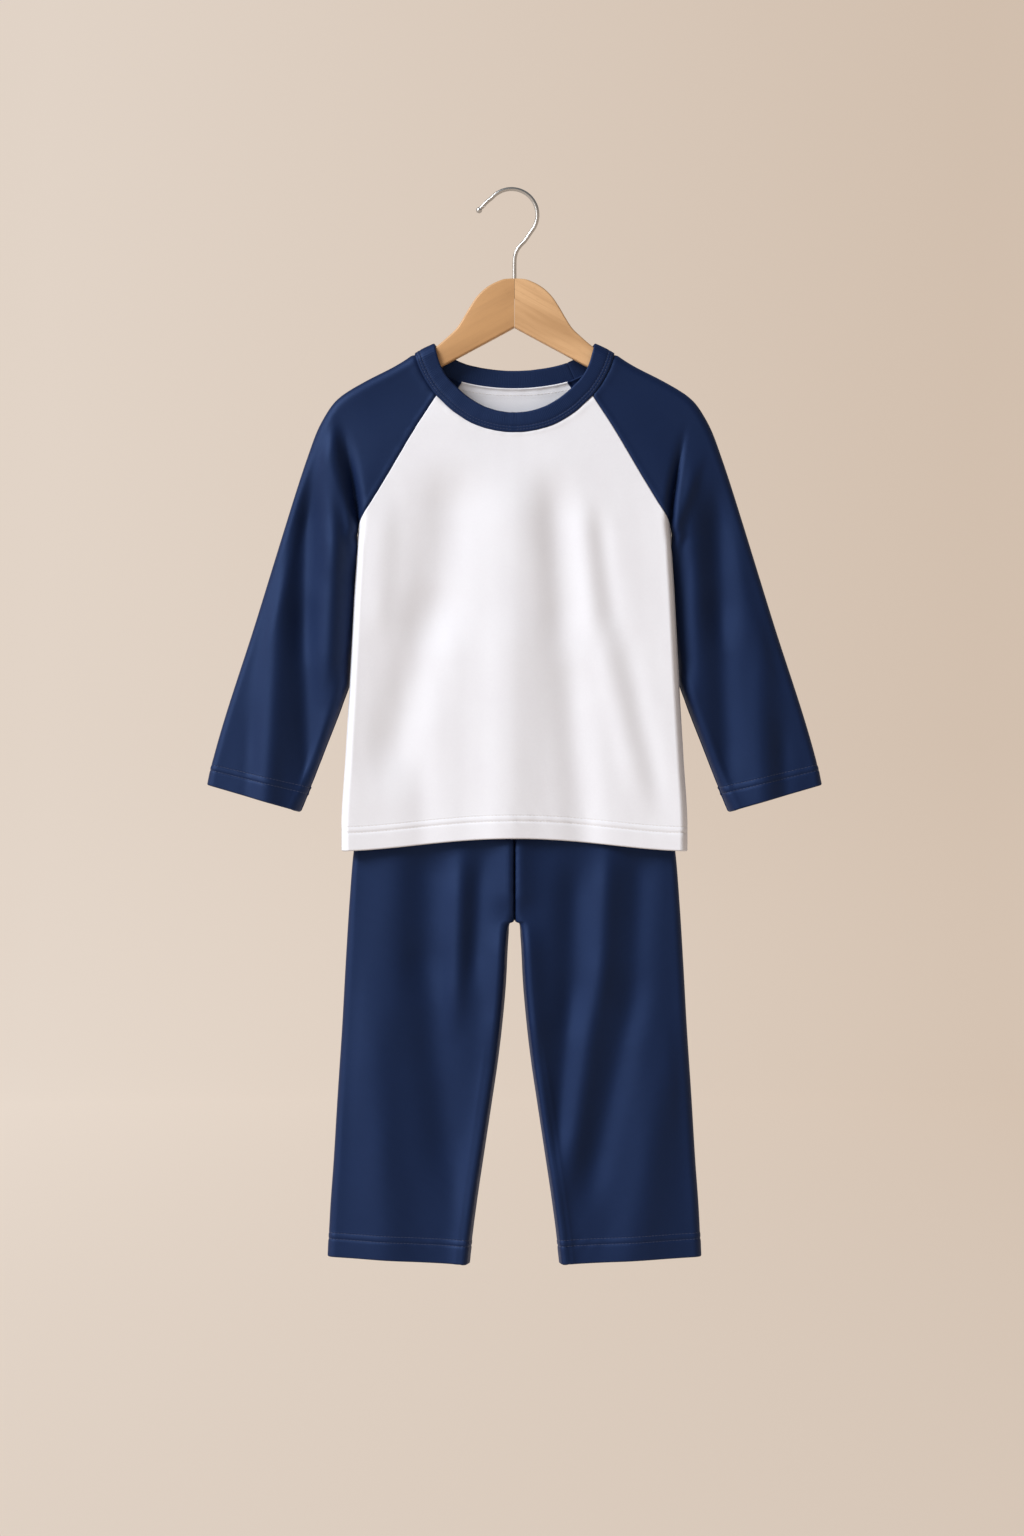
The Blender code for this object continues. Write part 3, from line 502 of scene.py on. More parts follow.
def outline_distance(side, drop):
    """Distance to the shoulder and sleeve fold, and the direction out across it."""
    along_side, along_drop = np.diff(OUTLINE_SIDE), np.diff(OUTLINE_DROP)
    length = np.hypot(along_side, along_drop)
    from_side = side[..., None] - OUTLINE_SIDE[:-1]
    from_drop = drop[..., None] - OUTLINE_DROP[:-1]
    t = np.clip((from_side * along_side + from_drop * along_drop) / length ** 2, 0.0, 1.0)
    distance = np.hypot(from_side - t * along_side, from_drop - t * along_drop)
    nearest = distance.argmin(-1)
    out = np.stack((along_drop, np.zeros_like(length), along_side), -1) / length[:, None]
    return np.take_along_axis(distance, nearest[..., None], -1)[..., 0], out[nearest]


def cloth(x, drop, face, level, gap, roll, out, centre):
    """Middle of the wall and its outward normal, where level is the depth inside the fold.

    The cloth turns to the back round a fold: gap is the distance to it, roll its radius and
    out the direction across it.
    """
    step = 0.8
    turn = np.clip(1.0 - gap / roll, 0.0, 1.0)
    flat = np.sqrt(1.0 - turn ** 2)
    slope_x = (level(x + step, drop) - level(x - step, drop)) / (2 * step)
    slope_drop = (level(x, drop + step) - level(x, drop - step)) / (2 * step)
    normal = np.stack((-slope_x, np.full_like(x, face), slope_drop), -1)
    normal /= np.linalg.norm(normal, axis=-1, keepdims=True)
    normal = flat[..., None] * normal + turn[..., None] * out
    normal /= np.linalg.norm(normal, axis=-1, keepdims=True)
    depth = level(x, drop) - (1.0 - flat) * roll
    middle = np.stack((x, centre + face * depth, -drop), -1)
    return middle, normal


def top_cloth(x, drop, face, sleeve=False):
    """The top's front or back: body, raglan and sleeve are one surface down to the underarm."""
    edge = SLEEVE_EDGE if sleeve else BODY_EDGE

    def roll_at(at_drop):
        return SHOULDER_ROLL + (SLEEVE_ROLL - SHOULDER_ROLL) * eased(at_drop, ROLL_RUN)

    def level(at_x, at_drop):
        side = np.abs(at_x)
        beyond = side - read(edge, "side", at_drop)
        full = read(BODY_DEPTH, "depth", at_drop) * (1.0 - 0.1 * (side / 150.0) ** 2)
        flatter = np.clip(1.0 + beyond / SIDE_FILL[face], 0, 1) ** 2 * eased(at_drop, SIDE_RUN)
        full = full - (full - SIDE_DEPTH[face]) * flatter * (beyond <= 0)
        inside = creases(at_x, at_drop, TOP_FOLDS[face])
        if sleeve:
            full += (read(SLEEVE_DEPTH, "depth", at_drop) - full) * ease(beyond / SLEEVE_WITHIN)
            outside = creases(at_x, at_drop, SLEEVE_FOLDS[face])
            inside = np.where(beyond > 0, outside, inside)
        distance, _ = outline_distance(side, at_drop)
        roll = roll_at(at_drop)
        depth = roll + (full - roll) * ease(distance / FULL_WITHIN)
        deep = eased(at_drop, UNDERARM_RUN)
        fold_roll = np.where((beyond > 0) & (at_x > 0), RIGHT_FOLD_ROLL, FOLD_ROLL)
        wide = np.where(beyond > 0, UNDERARM_ROLL, SIDE_ROLL[face]) - fold_roll
        width = fold_roll + wide * eased(at_drop, FOLD_RUN)
        swell = inside * ease(np.abs(beyond) / SIDE_WITHIN) * ease(distance / CREASED_WITHIN)
        swell = swell + UNEVEN * uneven(at_x, at_drop, 5 + face) * ease(distance / WAVY_WITHIN)
        return (depth + swell) * (1.0 - deep * np.clip(1.0 - np.abs(beyond) / width, 0, 1) ** 2)

    gap, out = outline_distance(np.abs(x), drop)
    out = out * np.stack((np.where(x < 0, -1.0, 1.0), np.ones_like(x), np.ones_like(x)), -1)
    centre = sleeve_centre(np.abs(x), drop) if sleeve else 0.0
    return cloth(x, drop, face, level, gap, roll_at(drop), out, centre)


def raglan_point(part, face):
    """A point of the raglan seam: 0 is at the neck seam and 1 at the underarm."""
    top = RAGLAN[face]["drop"][0]
    drop = top + part * (UNDERARM - top)
    return read(RAGLAN[face], "side", drop), drop


def parting_side(drop):
    """Where the body's side and the sleeve's inner edge lie against each other."""
    return read(BODY_EDGE, "side", drop) + 1.05 * ease((drop - UNDERARM) / 6.0)


def seam_gap(part):
    """Half of the gap at the raglan seam, a little wider where four pieces meet."""
    return 0.1 + 0.3 * part ** 6


def seam_relief(distance, run, seed):
    """Cloth dips into a seam, swells over the allowance beside it and puckers along it."""
    gathers = uneven(run, run * 0.0, seed, longest=19.0, shortest=7.0, waves=12)
    return (0.45 * bell(distance - 3.2, 1.7) - 0.85 * bell(distance, 1.0)
            + 0.17 * gathers * bell(distance - 2.0, 3.6))


def hem_relief(distance, run, seed):
    """The turned hem stands out a little; its stitches pull in and make it twist."""
    relief = HEM_STEP * ease((HEM_DEPTH + 0.8 - distance) / 1.6)
    for row in STITCH_ROWS:
        relief = relief - 0.5 * bell(distance - row, 0.9)
    gathers = uneven(run + 0.8 * distance, distance, seed, longest=17.0, shortest=6.0, waves=12)
    pull = bell(distance - np.mean(STITCH_ROWS), 7.0)
    return relief + 0.16 * gathers * pull


def allowance(distance):
    """Extra thickness on the inside, where the overlocked edges of a seam lie."""
    return ALLOWANCE_DEPTH * ease((ALLOWANCE - distance) / 0.9)


def wall(middle, normal, relief, from_hem, from_seam):
    """Outer and inner face of a panel, which is thicker at its hem and its seams."""
    thick = CLOTH + np.where(from_hem < HEM_DEPTH, HEM_EXTRA, 0.0) + allowance(from_seam)
    outer = middle + normal * (FACE + relief)[..., None]
    return outer, outer - normal * thick[..., None]


def run_across(grid):
    """Distance along each row of a grid from its first column."""
    steps = np.linalg.norm(np.diff(grid, axis=1), axis=-1)
    return np.concatenate((np.zeros((len(grid), 1)), np.cumsum(steps, 1)), 1)


def shell(name, outer, inner, knit, rim=1, ring=False):
    """A closed wall between two grids of points, [row, column], with rounded rims.

    knit gives each point's place on the flat cloth. A ring joins its last column to its first.
    """
    rows, columns = outer.shape[:2]
    count = rows * columns
    ids = np.arange(count).reshape(rows, columns)
    if ring:
        ids = np.concatenate((ids, ids[:, :1]), 1)
        borders = [ids[0], ids[-1, ::-1]]
    else:
        borders = [np.concatenate((ids[0], ids[1:, -1], ids[-1, -2::-1], ids[-2::-1, 0]))]
    a, b, c, d = (part.reshape(-1) for part in
                  (ids[:-1, :-1], ids[:-1, 1:], ids[1:, 1:], ids[1:, :-1]))
    quads = [np.stack((a, b, c, d), -1), np.stack((a, d, c, b), -1) + count]
    points = [outer.reshape(-1, 3), inner.reshape(-1, 3)]
    places = [knit.reshape(-1, 2)] * 2
    total = 2 * count
    for border in borders:
        border = border[:-1]
        row, column = border // columns, border % columns
        inward = (row + (row == 0) - (row == rows - 1)) * columns + column
        if not ring:
            inward = inward + (column == 0) - (column == columns - 1)
        middle = (points[0] + points[1])[border] / 2
        out = middle - (points[0] + points[1])[inward] / 2
        out /= np.linalg.norm(out, axis=1, keepdims=True)
        half = points[0][border] - middle
        reach = np.linalg.norm(half, axis=1, keepdims=True)
        edges = [border]
        for k in range(1, rim + 1):
            angle = math.pi * k / (rim + 1)
            points.append(middle + half * math.cos(angle) + out * reach * math.sin(angle))
            places.append(knit.reshape(-1, 2)[border])
            edges.append(total + np.arange(len(border)))
            total += len(border)
        edges.append(border + count)
        for near, far in zip(edges, edges[1:]):
            quads.append(np.stack((np.roll(near, -1), near, far, np.roll(far, -1)), -1))
    points, places, quads = (np.concatenate(parts) for parts in (points, places, quads))
    p, q, r, s = (points[quads[:, i]] for i in range(4))
    if np.einsum("ij,ij->", np.cross(r - p, s - q), p + q + r + s) < 0:
        quads = quads[:, ::-1]
    mesh = bpy.data.meshes.new(name)
    mesh.from_pydata((points * MM).tolist(), [], quads.tolist())
    layer = mesh.uv_layers.new(name="knit")
    layer.data.foreach_set("uv", (places[quads.reshape(-1)] * MM).reshape(-1))
    mesh.shade_smooth()
    piece = bpy.data.objects.new(name, mesh)
    bpy.context.scene.collection.objects.link(piece)
    return piece


def top_panel(name, face, neck, seed):
    """Front or back of the top, from the neck seam to the hem, with its outer face and normals."""
    spread = 2 * spaced(2 * HEM_HALF, STEP) - 1
    width, sign = np.abs(spread), np.sign(spread)
    neck_side, neck_drop = (read(neck, column, width, "part") for column in ("side", "drop"))
    x_rows, drop_rows, neck_rows, row_drops = [], [], [], []
    for part in RAGLAN_PARTS:
        side, drop = raglan_point(part, face)
        shape = width * part + neck_side / neck_side[-1] * (1 - part)
        x_rows.append(sign * shape * (side - seam_gap(part)))
        drop_rows.append(drop + (neck_drop - neck_drop[-1]) * (1 - part))
        neck_rows.append(part * (UNDERARM - RAGLAN[face]["drop"][0]))
        row_drops.append(drop)
    for drop in rows_to_hem(UNDERARM + STEP, TOP_HEM):
        arch = HEM_ARCH * (1 - width ** 2) ** 2 * ease((drop - ARCH_START) / (TOP_HEM - ARCH_START))
        x_rows.append(spread * (parting_side(drop) - GAP / 2))
        drop_rows.append(drop - arch)
        neck_rows.append(1000.0)
        row_drops.append(drop)
    x, drop = np.array(x_rows), np.array(drop_rows)
    from_neck = np.array(neck_rows)[:, None] + 0 * x
    from_hem = TOP_HEM - np.array(row_drops)[:, None] + 0 * x
    from_side = np.abs(x[:, -1:]) - np.abs(x)
    middle, normal = top_cloth(x, drop, face)
    relief = seam_relief(from_neck, x, seed) + hem_relief(from_hem, x, seed + 1)
    outer, inner = wall(middle, normal, relief, from_hem, np.minimum(from_neck, from_side))
    for skin in (outer, inner):
        skin[..., 1] = face * np.maximum(face * skin[..., 1], GAP / 2)
        below = drop >= UNDERARM - 0.01
        limit = parting_side(drop) - GAP / 2
        skin[..., 0] = np.where(below, np.clip(skin[..., 0], -limit, limit), skin[..., 0])
    across = run_across(outer)
    across = across - across[:, across.shape[1] // 2][:, None]
    piece = shell(name, outer, inner, np.stack((across, -drop), -1))
    return piece, outer, inner, normal, np.array(row_drops)


# Width of a knitted loop, and its height
WALE = 0.95
COURSE = 0.8


def jersey(name, colour, shade, sheen, tint, rough=0.9, shine=0.1):
    """Fine cotton jersey: rows of small V loops, a soft nap and a slightly cloudy dye."""
    cotton = Finish(name, Roughness=rough, Specular_IOR_Level=shine, Specular_Tint=(*tint, 1.0),
                    Sheen_Weight=sheen, Sheen_Roughness=0.45, Sheen_Tint=(*tint, 1.0))
    flat = cotton.node("UVMap", {"uv_map": "knit"}, {})
    across = cotton.node("SeparateXYZ", {}, {0: flat}, 0)
    down = cotton.node("SeparateXYZ", {}, {0: flat}, 1)
    wale = across * (1000.0 / WALE)
    wale = wale.math("FRACT", wale)
    leg = wale.math("ABSOLUTE", wale - 0.5) * 2.0
    course = down * (1000.0 / COURSE) + 0.55 * leg
    loop = course.math("ABSOLUTE", course.math("FRACT", course) - 0.5) * 2.0
    own = cotton.place()
    nap = cotton.noise(own, 1400.0, 2.0, 0.6)
    cloud = cotton.noise(own, 26.0, 3.0, 0.5)
    speck = cotton.noise(own, 520.0, 1.0)
    tone = 0.5 * cloud + 0.3 * speck + 0.2 * nap
    tone = cotton.node("MapRange", {}, {0: tone, 1: 0.36, 2: 0.64})
    cotton.feed(cotton.shader.inputs["Base Color"],
                cotton.blend(tone, (*shade, 1.0), (*colour, 1.0)))
    cotton.bump(0.55 * (1.0 - leg) + 0.35 * loop + 0.5 * nap, 0.00022, 0.5)
    return cotton.material


def stitches(name, lines, thread, pitch=3.1, length=2.4, radius=0.24):
    """Short threads along lines of points and normals, their ends drawn into the cloth."""
    points, quads = [], []
    lift = np.array((-0.34, 0.06, 0.06, -0.34))
    along = np.array((-0.5, -0.28, 0.28, 0.5)) * length
    turns = np.radians(np.arange(0.0, 360.0, 72.0))
    for line, normals in lines:
        run = np.concatenate(([0.0], np.cumsum(np.linalg.norm(np.diff(line, axis=0), axis=1))))
        at = np.arange(pitch, run[-1] - pitch / 2, pitch)[:, None] + along
        centre, up, ahead = (
            np.stack([np.interp(at, run, values[:, i]) for i in range(3)], -1)
            for values in (line, normals, np.gradient(line, axis=0)))
        ahead /= np.linalg.norm(ahead, axis=-1, keepdims=True)
        up -= ahead * (up * ahead).sum(-1, keepdims=True)
        up /= np.linalg.norm(up, axis=-1, keepdims=True)
        side = np.cross(ahead, up)
        centre = centre + up * lift[:, None]
        for number in range(len(at)):
            first = len(points)
            for c, u, s in zip(centre[number], up[number], side[number]):
                points += [c + (u * math.sin(t) + s * math.cos(t)) * radius for t in turns]
            for ring in range(3):
                for i in range(5):
                    j = (i + 1) % 5
                    low, high = first + 5 * ring, first + 5 * ring + 5
                    quads.append((low + i, low + j, high + j, high + i))
            quads.append(tuple(first + i for i in range(4, -1, -1)))
            quads.append(tuple(first + 15 + i for i in range(5)))
    mesh = bpy.data.meshes.new(name)
    mesh.from_pydata((np.array(points) * MM).tolist(), [], quads)
    mesh.shade_smooth()
    mesh.materials.append(thread)
    piece = bpy.data.objects.new(name, mesh)
    bpy.context.scene.collection.objects.link(piece)
    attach(piece, "root")
    return piece


def sewing_thread(name, colour):
    """Spun polyester thread, a shade off the cloth."""
    thread = Finish(name, Roughness=0.6, Sheen_Weight=0.2)
    twist = thread.noise(thread.place(), 3000.0, 1.0)
    darker = tuple(0.75 * c for c in colour)
    thread.feed(thread.shader.inputs["Base Color"],
                thread.blend(twist, (*darker, 1.0), (*colour, 1.0)))
    return thread.material


def hem_lines(outer, normal, row_drops, hem):
    """The lines of a hem's two stitch rows, on the cloth's outer face."""
    rows = [int(np.argmin(np.abs(row_drops - (hem - row)))) for row in STITCH_ROWS]
    return [(outer[row], normal[row]) for row in rows]


white_jersey = jersey("white_cotton_jersey", WHITE, WHITE_SHADE, 0.12, (1.0, 1.0, 1.0))
white_thread = sewing_thread("white_thread", (0.78, 0.77, 0.77))
front, outer, _, normal, row_drops = top_panel("front_panel", FRONT, NECK_FRONT, 11)
front.data.materials.append(white_jersey)
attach(front, "root")
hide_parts("top_front")
front_hem = stitches("front_hem_stitches", hem_lines(outer, normal, row_drops, TOP_HEM),
                     white_thread)


# Back of the top
# The back is cut like the front from the same white jersey, with a higher and shallower neck. Its
# neck seam lies open inside, turned down and held by one row of stitches that shows through the
# neck from the front.
BACK_RAGLAN_TOP = 171.7
NECK_BACK = table(
    "part side drop inner_side inner_drop",
    (0, 0, 177.8, 0, 162),
    (0.1, 4.9, 177.74, 4.4, 161.94),
    (0.3, 14.6, 177.25, 13.2, 161.45),
    (0.55, 26.7, 175.95, 23.9, 160.2),
    (0.8, 38.7, 173.9, 34.5, 158.35),
    (1, 48.2, BACK_RAGLAN_TOP, 43, 156.3))
RAGLAN[BACK] = table("side drop", (48.2, BACK_RAGLAN_TOP), (72, 205), (104, 250),
                     (126, 280), (137.4, 296.5), (140.5, UNDERARM))
TOP_FOLDS[BACK] = table(
    FOLD, (-14, 300, -20, 450, 16, -3.6), (-20, 430, -8, 590, 18, -3),
    (34, 330, 38, 600, 17, 2.4), (82, 310, 112, 410, 13, -3.6),
    (112, 385, 130, 530, 14, -2.8), (-70, 305, -104, 420, 13, -3),
    (-98, 400, -128, 545, 13, -2.6))

back, outer, inner, normal, row_drops = top_panel("back_panel", BACK, NECK_BACK, 31)
back.data.materials.append(white_jersey)
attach(back, "root")
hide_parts("top_back")
neck_row = int(np.argmin(np.abs(row_drops - (BACK_RAGLAN_TOP + 5.6))))
back_lines = hem_lines(outer, normal, row_drops, TOP_HEM)
back_lines.append((inner[neck_row], -normal[neck_row]))
back_hem = stitches("back_stitches", back_lines, white_thread)


# Sleeves
# Each sleeve is one panel of navy cotton jersey folded along the shoulder, sewn to the body at its
# raglan edges and to itself at the underarm, with a turned and coverstitched hem at the cuff.
CUFF = 558.9
# How far the sleeve and its inner edge hang behind the body, and the run that each takes to it
SLEEVE_SET_BACK = 4.0
SLEEVE_SWING = 100.0
EDGE_SET_BACK = 8.5
EDGE_SWING = 55.0
# The inner edge's turn behind the body: its width, its end and the fade before it
TURN_WIDTH = 16.0
TURN_END = 460.0
TURN_FADE = 40.0
# How much higher the sleeve starts to swing back away from its edge, and how far from it
SWING_UP = 75.0
SWING_WITHIN = 25.0
SLEEVE_GRAIN = math.radians(17.3)
SLEEVE_SEAM_IN = 4.2
SLEEVE_SEAM_RUN = (455.0, 30.0)
UNDERARM_END = 312.0
NAVY = (0.0030, 0.0088, 0.040)
NAVY_SHADE = (0.0026, 0.0076, 0.035)
NAVY_NAP = (0.28, 0.47, 1.0)

# The sleeve's inner edge, which goes behind the body's side below the underarm
SLEEVE_EDGE = table(
    "drop side",
    (205, 157), (216, 154), (261, 146), (UNDERARM, 140.6), (311, 142.1),
    (322, 140.3), (345, 140.8), (400, 143.6), (440, 148.2), (460, 154.6),
    (500, 170), (537.3, 184.6), (CUFF, 193.5))
# How much higher a row meets the outer fold than the inner edge
SLEEVE_RISE = table(
    "drop rise", (UNDERARM, 19.2), (345, 25), (400, 29), (450, 30), (500, 26),
    (537.3, 20.5), (CUFF, 24))
SLEEVE_DEPTH = table(
    "drop depth", (180, 8), (240, 12.8), (340, 13), (450, 12.5), (CUFF, 12.5))
# Control point of the neck seam between the raglan seam and the shoulder
NECK_BEND = {FRONT: (84.5, 166.0), BACK: (70.0, 163.5)}
SLEEVE_FOLDS = {
    FRONT: table(
        FOLD, (-167, 212, -162, 340, 12, 7.6), (-161, 310, -166, 450, 13, 7.2),
        (-187, 262, -190, 410, 12, -6.6), (-190, 380, -185, 560, 12, -6.6),
        (-211, 300, -226, 600, 13, 7.2), (-236, 470, -242, 600, 8, -1.6),
        (158, 245, 159, 340, 9, 1.8), (160, 320, 163, 450, 9, 2.4), (181, 275, 185, 400, 13, -6.4),
        (185, 370, 193, 540, 13, -6.2), (205, 300, 210, 420, 10, 1.6),
        (222, 370, 225, 600, 12, 3.6), (240, 480, 246, 600, 8, -2)),
    BACK: table(
        FOLD, (-170, 240, -190, 400, 9, 3.4), (-196, 330, -222, 500, 9, -4.2),
        (170, 240, 188, 390, 9, 3.4), (186, 330, 214, 500, 9, -4.2))}


def sleeve_centre(side, drop):
    """The sleeve hangs a little behind the body, and its inner edge turns behind the body's side."""
    beyond = side - read(SLEEVE_EDGE, "side", drop)
    turned = bell(np.maximum(beyond, 0.0), TURN_WIDTH) * ease((TURN_END - drop) / TURN_FADE)
    start = UNDERARM - SWING_UP * ease(beyond / SWING_WITHIN)
    return (SLEEVE_SET_BACK * ease((drop - start) / SLEEVE_SWING)
            + EDGE_SET_BACK * turned * ease((drop - start) / EDGE_SWING))


def bend(start, control, end, t):
    """Points on a quadratic curve in side and drop."""
    t = np.asarray(t)[:, None]
    return start * (1 - t) ** 2 + control * 2 * t * (1 - t) + end * t ** 2


def across_half(length, roll, count):
    """Shares of the way from a seam to a fold, closer at both."""
    turned = length - roll * (1.0 - np.cos(np.radians(np.linspace(90.0, 0.0, 10))))
    between = np.linspace(SEAM_STEPS[-1], turned[0], count)[1:-1]
    return np.concatenate((SEAM_STEPS, between, turned)) / length


def turned_seam(from_seam, inset):
    """The seam under the arm or inside the leg, which lies a little to the front."""
    return 0.4 * bell(from_seam - inset - 2.6, 1.6) - 0.9 * bell(from_seam - inset, 0.9)


def keep_apart(skins, face, centre):
    """Keep a tube's front or back off the other, up to the column that they share."""
    for skin in skins:
        away = np.maximum(face * (skin[..., 1] - centre), GAP / 2)
        skin[:, :-1, 1] = (centre + face * away)[:, :-1]


def tube(name, halves):
    """One panel from the front seam round the fold to the back seam.

    Each half has its outer and inner face, its normals and its places along the flat cloth.
    """
    grids = []
    for face, (outer, inner, normal, along) in halves.items():
        round_it = run_across(outer)
        knit = np.stack((-face * (round_it[:, -1:] - round_it), along), -1)
        grids.append((outer, inner, normal, knit))
    outer, inner, normal, knit = (np.concatenate((front, back[:, -2::-1]), 1)
                                  for front, back in zip(*grids))
    return shell(name, outer, inner, knit), outer, normal


def sleeve_panel(name, hand, seed):
    flats = {FRONT: [], BACK: []}
    neck_rows, row_drops = [], []
    tip_run = UNDERARM - SLEEVE_RISE["rise"][0]
    for part in RAGLAN_PARTS:
        end = outline_point(NECK_POINT[1] + (tip_run - NECK_POINT[1]) * part
                            * (0.72 + 0.28 * part))
        for face, rows in flats.items():
            side, drop = raglan_point(part, face)
            start = np.array((side + seam_gap(part), drop))
            bow = NECK_BEND[face] - (np.array(raglan_point(0.0, face)) + NECK_POINT) / 2
            t = across_half(math.dist(start, end), SHOULDER_ROLL, 32)
            rows.append(bend(start, (start + end) / 2 + bow * (1 - part) ** 2, end, t))
        neck_rows.append(part * (UNDERARM - FRONT_RAGLAN_TOP))
        row_drops.append(0.0)
    for drop in rows_to_hem(UNDERARM + STEP, CUFF):
        start = np.array((read(SLEEVE_EDGE, "side", drop), drop))
        end = outline_point(drop - read(SLEEVE_RISE, "rise", drop))
        t = across_half(math.dist(start, end), SLEEVE_ROLL, 32)
        for rows in flats.values():
            rows.append(bend(start, (start + end) / 2, end, t))
        neck_rows.append(1000.0)
        row_drops.append(drop)
    from_neck, from_cuff = np.array(neck_rows)[:, None], CUFF - np.array(row_drops)[:, None]
    halves = {}
    for face, rows in flats.items():
        flat = np.array(rows)
        side, drop = flat[..., 0], flat[..., 1]
        middle, normal = top_cloth(hand * side, drop, face, sleeve=True)
        from_seam = np.hypot(*np.moveaxis(flat - flat[:, :1], -1, 0))
        low = ease((drop - UNDERARM) / 30.0)
        relief = seam_relief(from_neck + 0 * side, from_seam, seed + face)
        relief = relief + seam_relief(from_seam, drop, seed + 3 * face) * (1 - 0.7 * low)
        relief = relief + hem_relief(from_cuff + 0 * side, from_seam * face, seed + 1)
        if face == FRONT:
            relief = relief + turned_seam(from_seam, SLEEVE_SEAM_IN) * eased(drop, SLEEVE_SEAM_RUN)
        skins = wall(middle, normal, relief, from_cuff, np.minimum(from_neck, from_seam))
        keep_apart(skins, face, sleeve_centre(side, drop))
        limit = parting_side(np.maximum(drop, UNDERARM)) + GAP / 2
        below = (drop[:, :1] >= UNDERARM - 0.01) & (drop[:, :1] < UNDERARM_END)
        for skin in skins:
            reach = np.abs(skin[..., 0])
            skin[..., 0] = hand * np.where(below, np.maximum(reach, limit), reach)
        along = side * math.sin(SLEEVE_GRAIN) + drop * math.cos(SLEEVE_GRAIN)
        halves[face] = (*skins, normal, -along)
    return (*tube(name, halves), np.array(row_drops))


navy_jersey = jersey("navy_cotton_jersey", NAVY, NAVY_SHADE, 0.06, NAVY_NAP, 0.57, 0.55)
navy_thread = sewing_thread("navy_thread", (0.024, 0.042, 0.115))
for word, hand, seed in (("left", -1, 50), ("right", 1, 70)):
    sleeve, outer, normal, row_drops = sleeve_panel(word + "_sleeve", hand, seed)
    sleeve.data.materials.append(navy_jersey)
    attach(sleeve, "root")
    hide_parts("sleeve_" + word)
    cuff = stitches(word + "_cuff_stitches", hem_lines(outer, normal, row_drops, CUFF),
                    navy_thread)


# Neckband
# The neckband is a strip of navy 1x1 rib, folded double, joined at the right of the back neck and
# sewn on a little stretched. Two rows of stitches on the band hold its seam down.
RIB = 2.8
RIB_LIFT = 0.9
RIB_PITCH = 1.6
RIB_RISE = 0.1
BAND_STATIONS = 1080
BAND_ROWS = (1.7, 4.3)
EDGE_ROUND = (0.6, 1.4)
BAND_JOIN = (49.5, 158.0)
INNER_BEND = {FRONT: (69.0, 157.5), BACK: (60.0, 150.5)}
navy_rib = jersey("navy_cotton_rib", NAVY, NAVY_SHADE, 0.06, NAVY_NAP, 0.57, 0.55)


def band_stations():
    """Half of the band's outer and inner lines, from the front's middle to the back's."""
    halves = []
    for face, neck in ((FRONT, NECK_FRONT), (BACK, NECK_BACK)):
        part = np.linspace(0.0, 1.0, 200)
        lines = []
        for side, drop, control, end in (("side", "drop", NECK_BEND[face], NECK_POINT),
                                         ("inner_side", "inner_drop", INNER_BEND[face],
                                          BAND_POINT)):
            panel = np.stack((read(neck, side, part, "part"), read(neck, drop, part, "part")), -1)
            length = math.dist(panel[-1], NECK_POINT)
            t = across_half(length, SHOULDER_ROLL, 90)
            lines.append(np.concatenate((panel, bend(panel[-1], np.array(control),
                                                     np.array(end), t)[1:])))
        halves.append(np.concatenate((np.full((len(lines[0]), 1), face), *lines), 1))
    return np.concatenate((halves[0], halves[1][-2::-1]))


def band_cloth(x, drop, face):
    """The band lies on the top's own surface, front or back by station."""
    front, front_normal = top_cloth(x, drop, FRONT, sleeve=True)
    back, back_normal = top_cloth(x, drop, BACK, sleeve=True)
    behind = (face > 0)[..., None]
    return np.where(behind, back, front), np.where(behind, back_normal, front_normal)


half = band_stations()
loop = np.concatenate((np.insert(half, 0, 1, 1), np.insert(half[-2:0:-1], 0, -1, 1)))
loop = np.concatenate((loop, loop[:1]))
sign, face, side, drop, inner_side, inner_drop = loop.T
middle, _ = band_cloth(sign * (side + inner_side) / 2, (drop + inner_drop) / 2, face)
run = np.concatenate(([0.0], np.cumsum(np.linalg.norm(np.diff(middle, axis=0), axis=1))))
at = np.linspace(0.0, run[-1], BAND_STATIONS + 1)[:-1]
nearest = np.clip(np.searchsorted(run, at), 0, len(run) - 1)
sign, face = sign[nearest], face[nearest]
x, inner_x = (np.interp(at, run, loop[:, 0] * loop[:, column]) for column in (2, 4))
drop, inner_drop = (np.interp(at, run, loop[:, column]) for column in (3, 5))
width = np.hypot(inner_x - x, inner_drop - drop)
edge_round = EDGE_ROUND[0] + EDGE_ROUND[1] * ease((drop - 145.0) / 35.0) * (face < 0)
near = np.array((0.15, 0.7, 1.2, 1.7, 2.2, 3.0, 3.8, 4.3, 4.8, 5.6))
far = np.array((0.15, 0.32, 0.49, 0.66, 0.82, 0.93, 1.0))
offset = np.concatenate((near[:, None] + 0 * width,
                         near[-1] + far[:, None] * (width - edge_round - near[-1])))
share = offset / width
x, drop = x + (inner_x - x) * share, drop + (inner_drop - drop) * share
face = face + 0 * x
middle, normal = band_cloth(x, drop, face)
middle = middle + normal * RIB_LIFT
